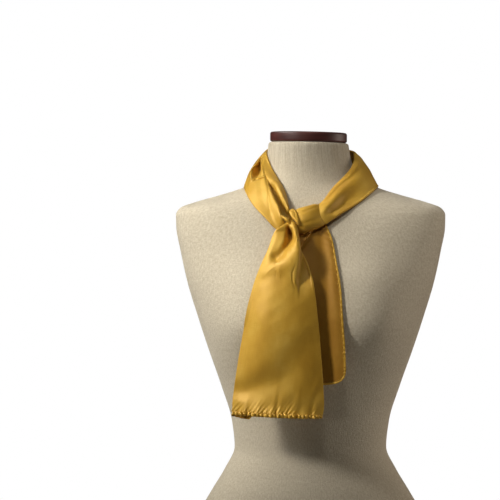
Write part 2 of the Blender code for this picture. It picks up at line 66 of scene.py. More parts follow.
# every column of a table, read at fractional row numbers
def readRows(table, at):
    numbers = np.arange(len(table["rows"]))
    return {
        name: smoothCurve(numbers, [row[k] for row in table["rows"]], at)
        for k, name in enumerate(table["columns"])
    }


def softStep(low, high, value):
    t = np.clip((value - low) / (high - low), 0, 1)
    return t * t * (3 - 2 * t)


wandering = {"waves": 7, "reach": (0.6, 1.7), "level": 3.2}


# slow wandering of about -1 to 1 over a pair of coordinates, the same on every run
def wander(a, b, size, seed):
    draw = np.random.default_rng(seed)
    total = np.zeros(np.broadcast_shapes(np.shape(a), np.shape(b)))
    for _ in range(wandering["waves"]):
        turn, phase = draw.uniform(0, 2 * math.pi, 2)
        reach = size * draw.uniform(*wandering["reach"])
        total += np.sin(2 * math.pi * (a * math.cos(turn) + b * math.sin(turn)) / reach + phase)
    return total / wandering["level"]


def unit(vectors):
    return vectors / np.maximum(np.linalg.norm(vectors, axis=-1, keepdims=True), 1e-9)


# ridges and hollows drawn as lines of (a, b, half width, rise), read from the nearest part;
# skew steepens one side, power squares the profile and lean pushes the crest sideways
def foldField(a, b, folds):
    rise, push = np.zeros(np.shape(a)), np.zeros(np.shape(a))
    for fold in folds:
        nearest = np.full(np.shape(a), 1e9)
        height = np.zeros(np.shape(a))
        line, skew, power = fold["line"], fold.get("skew", 0.0), fold.get("power", 2.0)
        for (a0, b0, width0, rise0), (a1, b1, width1, rise1) in zip(line, line[1:]):
            length = math.hypot(a1 - a0, b1 - b0)
            ahead = ((a - a0) * (a1 - a0) + (b - b0) * (b1 - b0)) / length
            side = ((a - a0) * (b0 - b1) + (b - b0) * (a1 - a0)) / length
            t = np.clip(ahead / length, 0, 1)
            width, top = width0 + (width1 - width0) * t, rise0 + (rise1 - rise0) * t
            beyond = ahead - t * length
            away = np.hypot(beyond, side)
            slope = width * (1 - skew * np.tanh(2 * side / width))
            here = top * np.exp(-((beyond / width) ** 2) - np.abs(side / slope) ** power)
            height = np.where(away < nearest, here, height)
            nearest = np.minimum(away, nearest)
        rise += height
        push += height * fold.get("lean", 0.0)
    return rise, push


def fillSocket(tree, socket, value):
    if isinstance(value, bpy.types.NodeSocket):
        tree.links.new(value, socket)
    else:
        socket.default_value = value


# a shader node with its settings, and with sockets filled by name, _ standing for a space
def addNode(tree, kind, settings=None, **sockets):
    node = tree.nodes.new("ShaderNode" + kind)
    for name, value in (settings or {}).items():
        setattr(node, name, value)
    for name, value in sockets.items():
        fillSocket(tree, node.inputs[name.replace("_", " ")], value)
    return node


# the first output of a node whose sockets are filled in their own order
def addInOrder(tree, kind, settings, *values):
    node = addNode(tree, kind, settings)
    for socket, value in zip(node.inputs, values):
        fillSocket(tree, socket, value)
    return node.outputs[0]


def calculate(tree, operation, *values):
    return addInOrder(tree, "Math", {"operation": operation}, *values)


# where the viewer stands, and the lights
viewpoint = {"place": (-0.0877, -3.0, 0.7096), "aim": (-0.0877, 0.0, 0.637), "lens": 149.0,
             "sensorWidth": 36.0, "clipEnd": 50.0}
studio = {
    # name: (place, width, height, power, colour)
    "softboxes": {
        "keyLight": ((-1.783, -0.062, 2.206), 0.70, 1.50, 6.3, (1.0, 0.985, 0.95)),
        "sideLight": ((2.16, 0.38, 0.80), 1.30, 1.30, 15.5, (1.0, 0.88, 0.76)),
        "topLight": ((0.10, 0.0, 2.00), 0.60, 0.07, 1.2, (1.0, 0.98, 0.95)),
    },
    "softboxAim": (0.0, 0.0, 0.60),
    "keySpread": 62.0,  # degrees
    # name: (place, what it is aimed at, cone in degrees, power)
    "beams": {
        "leftBeam": ((-1.269, -0.960, 1.390), (0.02, -0.05, 0.56), 25.0, 97.0),
        "rightBeam": ((0.022, -1.313, 1.837), (0.165, -0.07, 0.655), 18.0, 41.5),
    },
    "beamSize": 0.16,
    "beamColour": (1.0, 0.97, 0.92),
    "backdrop": (1.0, 1.0, 1.0, 1.0),  # what shows behind the floor
    "ambient": 0.005,
    "ambientColour": (1.0, 0.84, 0.66, 1.0),
}


def aimAt(item, place, target):
    item.location = place
    item.rotation_euler = (Vector(target) - Vector(place)).to_track_quat("-Z", "Y").to_euler()


def addCamera():
    camera = bpy.data.objects.new("camera", bpy.data.cameras.new("camera"))
    bpy.context.scene.collection.objects.link(camera)
    camera.data.lens = viewpoint["lens"]
    camera.data.sensor_width = viewpoint["sensorWidth"]
    camera.data.clip_end = viewpoint["clipEnd"]
    aimAt(camera, viewpoint["place"], viewpoint["aim"])
    bpy.context.scene.camera = camera


def addLight(name, kind, place, target, power, colour):
    light = bpy.data.objects.new(name, bpy.data.lights.new(name, kind))
    bpy.context.scene.collection.objects.link(light)
    light.data.energy = power
    light.data.color = colour
    aimAt(light, place, target)
    return light


def addSoftbox(name, place, width, height, power, colour):
    box = addLight(name, "AREA", place, studio["softboxAim"], power, colour)
    box.data.shape = "RECTANGLE"
    box.data.size, box.data.size_y = width, height
    return box


# soft-edged beams, brightest on the chest and gone below the waist
def addBeam(name, place, target, cone, power):
    beam = addLight(name, "SPOT", place, target, power, studio["beamColour"])
    beam.data.spot_size = math.radians(cone)
    beam.data.spot_blend = 1.0
    beam.data.shadow_soft_size = studio["beamSize"]


# the world shows as a plain backdrop and lights the pieces with a faint warm glow
def addRoom():
    world = bpy.data.worlds.new("room")
    bpy.context.scene.world = world
    world.use_nodes = True
    tree = world.node_tree
    tree.nodes.clear()
    seen = addNode(tree, "Background", Color=studio["backdrop"]).outputs[0]
    glow = addNode(tree, "Background", Color=studio["ambientColour"], Strength=studio["ambient"]).outputs[0]
    cameraRay = addNode(tree, "LightPath").outputs["Is Camera Ray"]
    addNode(tree, "OutputWorld", Surface=addInOrder(tree, "MixShader", {}, cameraRay, glow, seen))


addCamera()
addRoom()
boxes = {name: addSoftbox(name, *values) for name, values in studio["softboxes"].items()}
boxes["keyLight"].data.spread = math.radians(studio["keySpread"])
for name, values in studio["beams"].items():
    addBeam(name, *values)
bpy.context.scene.view_settings.view_transform = "Standard"
print("camera and lights set")


def newFinish(name):
    finish = bpy.data.materials.new(name)
    finish.use_nodes = True
    return finish, finish.node_tree, finish.node_tree.nodes["Principled BSDF"]


def fillShader(tree, shader, values):
    for name, value in values.items():
        fillSocket(tree, shader.inputs[name], value)


# noise over the cloth's own coordinates, stretched by (across, along, depth)
def clothNoise(tree, place, stretch, detail, roughness=0.5):
    scaled = addInOrder(tree, "VectorMath", {"operation": "MULTIPLY"}, place, stretch)
    noise = addNode(tree, "TexNoise", Vector=scaled, Scale=1.0, Detail=detail, Roughness=roughness)
    return noise.outputs[0]


def ramp(tree, value, stops):
    node = addNode(tree, "ValToRGB", Fac=value)
    bar = node.color_ramp
    while len(bar.elements) < len(stops):
        bar.elements.new(0.5)
    for element, (position, colour) in zip(bar.elements, stops):
        element.position, element.color = position, (*colour, 1.0)
    return node.outputs["Color"]


def relief(tree, height, strength, depth):
    return addNode(tree, "Bump", Height=height, Strength=strength, Distance=depth).outputs[0]


satinFinish = {
    "deep": (0.44, 0.225, 0.020),
    "gold": (0.575, 0.325, 0.036),
    "pale": (0.68, 0.424, 0.070),
    "stops": (0.42, 0.75, 1.0),
    "metallic": 0.10,
    "roughness": 0.47,
    "roughnessRange": (-0.04, 0.05),
    "specular": 0.42,
    "specularTint": (1.0, 0.95, 0.66, 1.0),
    "sheen": 0.10,
    "sheenRoughness": 0.35,
    "sheenTint": (1.0, 0.85, 0.50, 1.0),
    "streaksPerMetre": (2600.0, 55.0, 1.0),
    "slubsPerMetre": (90.0, 1900.0, 1.0),
    "cloudsPerMetre": (22.0, 16.0, 1.0),
    "weaveShare": 0.25,  # of the threads in the colour, beside the clouds
    "reliefStrength": 0.5,
    "reliefDepth": 0.00006,
}


def satinCloth(name, tint=(1.0, 1.0, 1.0), roughness=None):
    s = satinFinish
    finish, tree, shader = newFinish(name)
    place = addNode(tree, "Attribute", {"attribute_name": "weave"}).outputs["Vector"]
    warp = clothNoise(tree, place, s["streaksPerMetre"], 2.0)
    weft = clothNoise(tree, place, s["slubsPerMetre"], 2.0)
    cloud = clothNoise(tree, place, s["cloudsPerMetre"], 3.0)
    threads = calculate(tree, "ADD", warp, weft)
    shade = calculate(tree, "MULTIPLY_ADD", threads, s["weaveShare"], cloud)
    tones = [tuple(c * t for c, t in zip(s[tone], tint)) for tone in ("deep", "gold", "pale")]
    level = roughness or s["roughness"]
    low, high = s["roughnessRange"]
    shine = addNode(tree, "MapRange", From_Min=0.3, From_Max=0.7, To_Min=level + low, To_Max=level + high,
                    Value=cloud)
    fillShader(tree, shader, {
        "Base Color": ramp(tree, shade, list(zip(s["stops"], tones))),
        "Roughness": shine.outputs[0],
        "Normal": relief(tree, threads, s["reliefStrength"], s["reliefDepth"]),
        "Metallic": s["metallic"],
        "Specular IOR Level": s["specular"],
        "Specular Tint": s["specularTint"],
        "Sheen Weight": s["sheen"],
        "Sheen Roughness": s["sheenRoughness"],
        "Sheen Tint": s["sheenTint"],
    })
    return finish


jerseyFinish = {
    "dark": (0.505, 0.434, 0.310),
    "mid": (0.59, 0.520, 0.393),
    "light": (0.662, 0.600, 0.470),
    "stops": (0.39, 0.5, 0.61),
    "walesPerMetre": (520.0, 190.0, 1.0),
    "slubsPerMetre": (240.0, 460.0, 1.0),
    "loopsPerMetre": (560.0, 560.0, 1.0),
    "slubShare": 0.45,
    "loopShare": 0.95,
    "contrast": 0.4,
    "roughness": 0.95,
    "sheen": 0.10,
    "sheenRoughness": 0.5,
    "reliefStrength": 0.6,
    "reliefDepth": 0.00090,
    # ribs that show on the neck alone, fading in between these two heights
    "neckRibs": {"perMetre": (200.0, 14.0, 1.0), "from": 0.735, "to": 0.765, "strength": 1.15},
}


def jerseyCloth(name):
    s = jerseyFinish
    finish, tree, shader = newFinish(name)
    place = addNode(tree, "Attribute", {"attribute_name": "weave"}).outputs["Vector"]
    wales = clothNoise(tree, place, s["walesPerMetre"], 2.0)
    slubs = clothNoise(tree, place, s["slubsPerMetre"], 3.0, 0.6)
    loops = clothNoise(tree, place, s["loopsPerMetre"], 2.0, 0.6)
    knit = calculate(tree, "MULTIPLY_ADD", slubs, s["slubShare"], wales)
    knit = calculate(tree, "MULTIPLY_ADD", loops, s["loopShare"], knit)
    ribs = s["neckRibs"]
    height = addNode(tree, "SeparateXYZ", Vector=addNode(tree, "TexCoord").outputs["Object"]).outputs["Z"]
    onNeck = addNode(tree, "MapRange", From_Min=ribs["from"], From_Max=ribs["to"], To_Max=ribs["strength"],
                     Value=height).outputs[0]
    wave = calculate(tree, "SUBTRACT", clothNoise(tree, place, ribs["perMetre"], 1.0), 0.5)
    shade = calculate(tree, "MULTIPLY_ADD", wave, onNeck, knit)
    shade = calculate(tree, "MULTIPLY", shade, s["contrast"])
    stops = list(zip(s["stops"], (s["dark"], s["mid"], s["light"])))
    fillShader(tree, shader, {
        "Base Color": ramp(tree, shade, stops),
        "Normal": relief(tree, knit, s["reliefStrength"], s["reliefDepth"]),
        "Roughness": s["roughness"],
        "Sheen Weight": s["sheen"],
        "Sheen Roughness": s["sheenRoughness"],
    })
    return finish


woodFinish = {
    "grainPerMetre": (14.0, 14.0, 420.0),
    "figurePerMetre": (30.0, 30.0, 60.0),
    "stops": (0.35, 0.68),
    "reliefStrength": 0.25,
    "reliefDepth": 0.0002,
    "coatRoughness": 0.30,
}


def polishedWood(name, wood):
    s = woodFinish
    finish, tree, shader = newFinish(name)
    place = addNode(tree, "TexCoord").outputs["Object"]
    grain = clothNoise(tree, place, s["grainPerMetre"], 4.0, 0.6)
    figure = clothNoise(tree, place, s["figurePerMetre"], 2.0)
    shade = calculate(tree, "MULTIPLY", calculate(tree, "ADD", grain, figure), 0.5)
    fillShader(tree, shader, {
        "Base Color": ramp(tree, shade, list(zip(s["stops"], (wood["dark"], wood["light"])))),
        "Normal": relief(tree, grain, s["reliefStrength"], s["reliefDepth"]),
        "Roughness": wood["roughness"],
        "Coat Weight": wood["coat"],
        "Coat Roughness": s["coatRoughness"],
    })
    return finish


# four-cornered faces between neighbouring rows or rings, numbered from the first point
def gridFaces(rows, columns, wrap=False, caps=False, first=0):
    index = first + np.arange(rows * columns).reshape(rows, columns)
    beside = np.roll(index, -1, axis=1)
    faces = np.stack([index[:-1], beside[:-1], beside[1:], index[1:]], -1)
    if not wrap:
        faces = faces[:, :-1]
    faces = faces.reshape(-1, 4).tolist()
    if caps:
        faces += [index[0, ::-1].tolist(), index[-1].tolist()]
    return faces


# a smooth mesh whose points carry their places on the cloth, for its finish
def clothMesh(name, points, faces, weave):
    mesh = bpy.data.meshes.new(name)
    mesh.from_pydata(points, [], faces)
    mesh.polygons.foreach_set("use_smooth", [True] * len(mesh.polygons))
    place = mesh.attributes.new("weave", "FLOAT_VECTOR", "POINT")
    place.data.foreach_set("vector", np.asarray(weave, np.float32).ravel())
    mesh.update()
    return mesh


def gridMesh(name, points, weave, wrap=False, caps=False):
    rows, columns = points.shape[:2]
    flat = np.zeros((rows * columns, 3), np.float32)
    flat[:, :2] = weave.reshape(-1, 2)
    return clothMesh(name, points.reshape(-1, 3).tolist(), gridFaces(rows, columns, wrap, caps), flat)


# a piece rides the one body, takes its slot, and stands for the solids that it covers
def showPiece(name, mesh, finish, replaced=(), wall=None):
    piece = bpy.data.objects.new(name, mesh)
    bpy.context.scene.collection.objects.link(piece)
    piece.data.materials.append(finish)
    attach(piece, "root")
    if replaced:
        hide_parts(*replaced)
    if wall:
        cloth = piece.modifiers.new("wall", "SOLIDIFY")
        cloth.thickness = wall
        cloth.offset = 0.0
    return piece


def showSheet(name, points, finish, replaced, wall):
    return showPiece(name, gridMesh(name, points, clothPlace(points)), finish, replaced, wall)


def showRings(name, rings, finish, replaced):
    rings = np.array(rings)
    mesh = gridMesh(name, rings, rings[..., :2], wrap=True, caps=True)
    return showPiece(name, mesh, finish, replaced)


# lengths along and across a grid of points, as the cloth's own coordinates
def clothPlace(points):
    across = np.linalg.norm(np.diff(points, axis=1), axis=2)
    across = np.concatenate([np.zeros((len(points), 1)), np.cumsum(across, axis=1)], axis=1)
    across -= across[:, -1:] / 2
    along = travelled(points[:, points.shape[1] // 2])
    return np.stack([across, np.broadcast_to(along[:, None], across.shape)], -1)


# how far each point of a line is from its start, along the line
def travelled(line):
    return np.concatenate([[0.0], np.cumsum(np.linalg.norm(np.diff(line, axis=0), axis=1))])


# the dress form, from its foot to the top of its neck
torsoForm = {
    "columns": ("height", "halfWidth", "front", "back", "power"),
    "rows": (
        (0.0124, 0.184, 0.094, 0.098, 2.3),
        (0.060, 0.190, 0.099, 0.110, 2.3),
        (0.110, 0.193, 0.103, 0.121, 2.3),
        (0.160, 0.191, 0.107, 0.127, 2.3),
        (0.210, 0.181, 0.109, 0.122, 2.3),
        (0.255, 0.162, 0.107, 0.109, 2.2),
        (0.290, 0.142, 0.101, 0.095, 2.15),
        (0.320, 0.124, 0.094, 0.083, 2.1),
        (0.352, 0.110, 0.089, 0.075, 2.1),
        (0.390, 0.114, 0.091, 0.071, 2.1),
        (0.440, 0.129, 0.103, 0.073, 2.15),
        (0.490, 0.146, 0.122, 0.080, 2.25),
        (0.540, 0.1625, 0.132, 0.087, 2.3),
        (0.590, 0.178, 0.127, 0.092, 2.35),
        (0.640, 0.189, 0.110, 0.093, 2.4),
        (0.670, 0.1945, 0.098, 0.090, 2.4),
        (0.688, 0.195, 0.089, 0.086, 2.35),
        (0.698, 0.189, 0.083, 0.082, 2.25),
        (0.707, 0.165, 0.078, 0.078, 2.15),
        (0.716, 0.133, 0.073, 0.074, 2.1),
        (0.726, 0.101, 0.068, 0.070, 2.05),
        (0.738, 0.077, 0.0635, 0.066, 2.0),
        (0.755, 0.0645, 0.060, 0.0625, 2.0),
        (0.775, 0.0600, 0.058, 0.0595, 2.0),
        (0.787, 0.0584, 0.0572, 0.058, 2.0),
        (0.791, 0.0573, 0.0560, 0.0568, 2.0),
        (0.7925, 0.0543, 0.0532, 0.0540, 2.0),
    ),
    "bust": {"spacing": 0.078, "height": 0.540, "rise": 0.020, "halfWidth": 0.050,
             "above": 0.085, "below": 0.058},
    "capLean": {"degrees": 1.2, "from": 0.74, "to": 0.79},  # lower on the right
    "neckShift": {"by": -0.0029, "from": 0.735, "to": 0.785},
    # rings of points from one height to another, closer where the form turns in
    "rings": ((0.0124, 0.68, 140), (0.683, 0.745, 34), (0.748, 0.787, 20), (0.788, 0.7925, 16)),
    "around": 200,
    "weaveRadius": 0.11,
}


def torsoSize(name, height):
    k = torsoForm["columns"].index(name)
    rows = torsoForm["rows"]
    return smoothCurve([row[0] for row in rows], [row[k] for row in rows], height)


# the neck stands a little to the left of the shoulders' middle
def neckShift(z):
    s = torsoForm["neckShift"]
    return s["by"] * softStep(s["from"], s["to"], z)


def bustRise(x, z):
    b = torsoForm["bust"]
    left = np.exp(-(((x + b["spacing"]) / b["halfWidth"]) ** 2))
    right = np.exp(-(((x - b["spacing"]) / b["halfWidth"]) ** 2))
    up = z - b["height"]
    reach = np.where(up > 0, b["above"], b["below"])
    return b["rise"] * (left + right) * np.exp(-((up / reach) ** 2))


def torsoRadius(turn, z):
    halfWidth, power = torsoSize("halfWidth", z), torsoSize("power", z)
    depth = np.where(np.cos(turn) > 0, torsoSize("front", z), torsoSize("back", z))
    flat = (np.abs(np.sin(turn)) / halfWidth) ** power + (np.abs(np.cos(turn)) / depth) ** power
    radius = flat ** (-1 / power)
    return radius + bustRise(radius * np.sin(turn), z) * np.sqrt(np.clip(np.cos(turn), 0, None))


def torsoFront(x, z):
    halfWidth, power = torsoSize("halfWidth", z), torsoSize("power", z)
    inside = np.clip(1 - (np.abs(x) / halfWidth) ** power, 0, 1)
    return -torsoSize("front", z) * inside ** (1 / power) - bustRise(x, z)


def capLean(x, z):
    s = torsoForm["capLean"]
    return z - math.tan(math.radians(s["degrees"])) * x * softStep(s["from"], s["to"], z)


# how far points are outside the skin, and which way is away from it
def outsideSkin(points):
    def field(p):
        x, y = p[..., 0] - neckShift(p[..., 2]), p[..., 1]
        return np.hypot(x, y) - torsoRadius(np.arctan2(x, -y), p[..., 2])

    step = 0.0004
    slope = [(field(points + d) - field(points - d)) / (2 * step) for d in np.eye(3) * step]
    slope = np.stack(slope, -1)
    size = np.linalg.norm(slope, axis=-1)
    return field(points) / size, slope / size[..., None]


skinSteps = {"count": 5, "longest": 0.01}


# points moved out in a few short steps until they stand clear of the skin
def clearOfSkin(points, least):
    points = np.array(points, float)
    for _ in range(skinSteps["count"]):
        distance, away = outsideSkin(points)
        points += away * np.clip(least - distance, 0, skinSteps["longest"])[..., None]
    return points


def buildTorso(finish):
    s = torsoForm
    heights = np.concatenate([np.linspace(*span) for span in s["rings"]])
    turns = np.linspace(-math.pi, math.pi, s["around"], endpoint=False)
    turn, z = np.meshgrid(turns, heights)
    radius = torsoRadius(turn, z)
    x, y = radius * np.sin(turn), -radius * np.cos(turn)
    points = np.stack([x + neckShift(z), y, capLean(x, z)], -1)
    climbed = np.cumsum(np.linalg.norm(np.diff(points, axis=0, prepend=points[:1]), axis=-1), axis=0)
    weave = np.stack([turn * s["weaveRadius"], climbed], -1)
    mesh = gridMesh("jerseyTorso", points, weave, wrap=True, caps=True)
    return showPiece("jerseyTorso", mesh, finish, ["torso"])


neckBlock = {
    "bottom": 0.7929,
    "thickness": 0.0143,
    "halfWidth": 0.0556,
    "halfDepth": 0.0545,
    "round": 0.0030,
    "roundPoints": 7,
    "faceRings": (0.03, 0.01),  # how far inside the edge, on the flat top and bottom
    "around": 128,
    "wood": {"dark": (0.050, 0.0105, 0.008), "light": (0.118, 0.030, 0.023),
             "roughness": 0.48, "coat": 0.09},
}


def buildBlock():
    s = neckBlock
    turn = np.linspace(0, 2 * math.pi, s["around"], endpoint=False)
    corner = np.linspace(0, math.pi / 2, s["roundPoints"])
    inset = s["round"] * (1 - np.sin(corner))
    rise = s["round"] * (1 - np.cos(corner))
    face, top = s["faceRings"], s["thickness"]
    insets = np.concatenate([face, inset, inset[::-1], face[::-1]])
    rises = np.concatenate([np.zeros(len(face)), rise, top - rise[::-1], np.full(len(face), top)])
    rings = []
    for off, up in zip(insets, rises):
        x, y = (s["halfWidth"] - off) * np.sin(turn), -(s["halfDepth"] - off) * np.cos(turn)
        z = capLean(x, np.full_like(x, s["bottom"] + up))
        rings.append(np.stack([x + torsoForm["neckShift"]["by"], y, z], -1))
    showRings("neckBlock", rings, polishedWood("mahogany", s["wood"]), ["neck_block"])


baseBoard = {
    "thickness": 0.012,
    "inset": 0.004,
    "round": 0.002,
    "roundPoints": 6,
    # levels as (height, how far inside the edge)
    "bottomLevels": ((0.0, 0.02), (0.0, 0.0005), (0.0006, 0.0)),
    "topRing": 0.01,
    "around": 200,
    "wood": {"dark": (0.035, 0.013, 0.010), "light": (0.085, 0.032, 0.022),
             "roughness": 0.45, "coat": 0.1},
}


def buildBoard():
    s = baseBoard
    turn = np.linspace(0, 2 * math.pi, s["around"], endpoint=False)
    foot = torsoRadius(turn, np.full_like(turn, torsoForm["rows"][0][0])) - s["inset"]
    levels = list(s["bottomLevels"])
    for corner in np.linspace(0, math.pi / 2, s["roundPoints"]):
        down, off = s["round"] * (1 - math.sin(corner)), s["round"] * (1 - math.cos(corner))
        levels.append((s["thickness"] - down, off))
    levels.append((s["thickness"], s["topRing"]))
    rings = []
    for height, off in levels:
        x, y = (foot - off) * np.sin(turn), -(foot - off) * np.cos(turn)
        rings.append(np.stack([x, y, np.full_like(turn, height)], -1))
    showRings("baseBoard", rings, polishedWood("darkBoard", s["wood"]), ["base_board"])


buildTorso(jerseyCloth("creamJersey"))
buildBlock()
buildBoard()
print("dress form made")

satin = satinCloth("goldSatin")
# the duller reverse of the cloth, its colour darkened and reddened further as painted shade, for the pieces
# that lie in shade behind and under the front tail
satinReverseAndPaintedShade = satinCloth("goldSatinReverseAndPaintedShade", (0.61, 0.505, 0.345), 0.60)


# evenly spaced places down the rows of a piece's table, one for each section
def sectionsOf(s):
    return np.linspace(0, len(s["rows"]) - 1, s["sections"])


# folds given in shares of a panel and in rows, turned into metres on the cloth
def foldsInMetres(folds, width, length):
    return [
        {**fold, "line": [(a * width, b * length, reach, rise) for a, b, reach, rise in fold["line"]]}
        for fold in folds
    ]


foldPoints = 8  # places round a folded edge, the first of them on the panel itself


# continues a panel past the first point of each row, round a fold and back beneath it
def turnedUnder(panel, inward, radius, length, count):
    edge, along = panel[:, 0], unit(panel[:, 0] - panel[:, 2])
    down = inward[:, 0] - np.sum(inward[:, 0] * along, axis=1)[:, None] * along
    down = unit(down)
    turns = [
        edge + radius * (down * (1 - math.cos(angle)) + along * math.sin(angle))
        for angle in np.linspace(0, math.pi, foldPoints)[1:]
    ]
    beneath = panel + inward * 2 * radius
    step = np.linalg.norm(np.diff(beneath, axis=1), axis=2)
    travel = np.concatenate([np.zeros((len(panel), 1)), np.cumsum(step, axis=1)], axis=1)
    wanted = np.asarray(length) * np.linspace(0, 1, count + 1)[1:] * np.ones((len(panel), 1))
    under = np.array([
        np.stack([np.interp(want, way, row[:, k]) for k in range(3)], -1)
        for want, way, row in zip(wanted, travel, beneath)
    ])
    return np.concatenate([under[:, ::-1], np.stack(turns[::-1], axis=1)], axis=1)


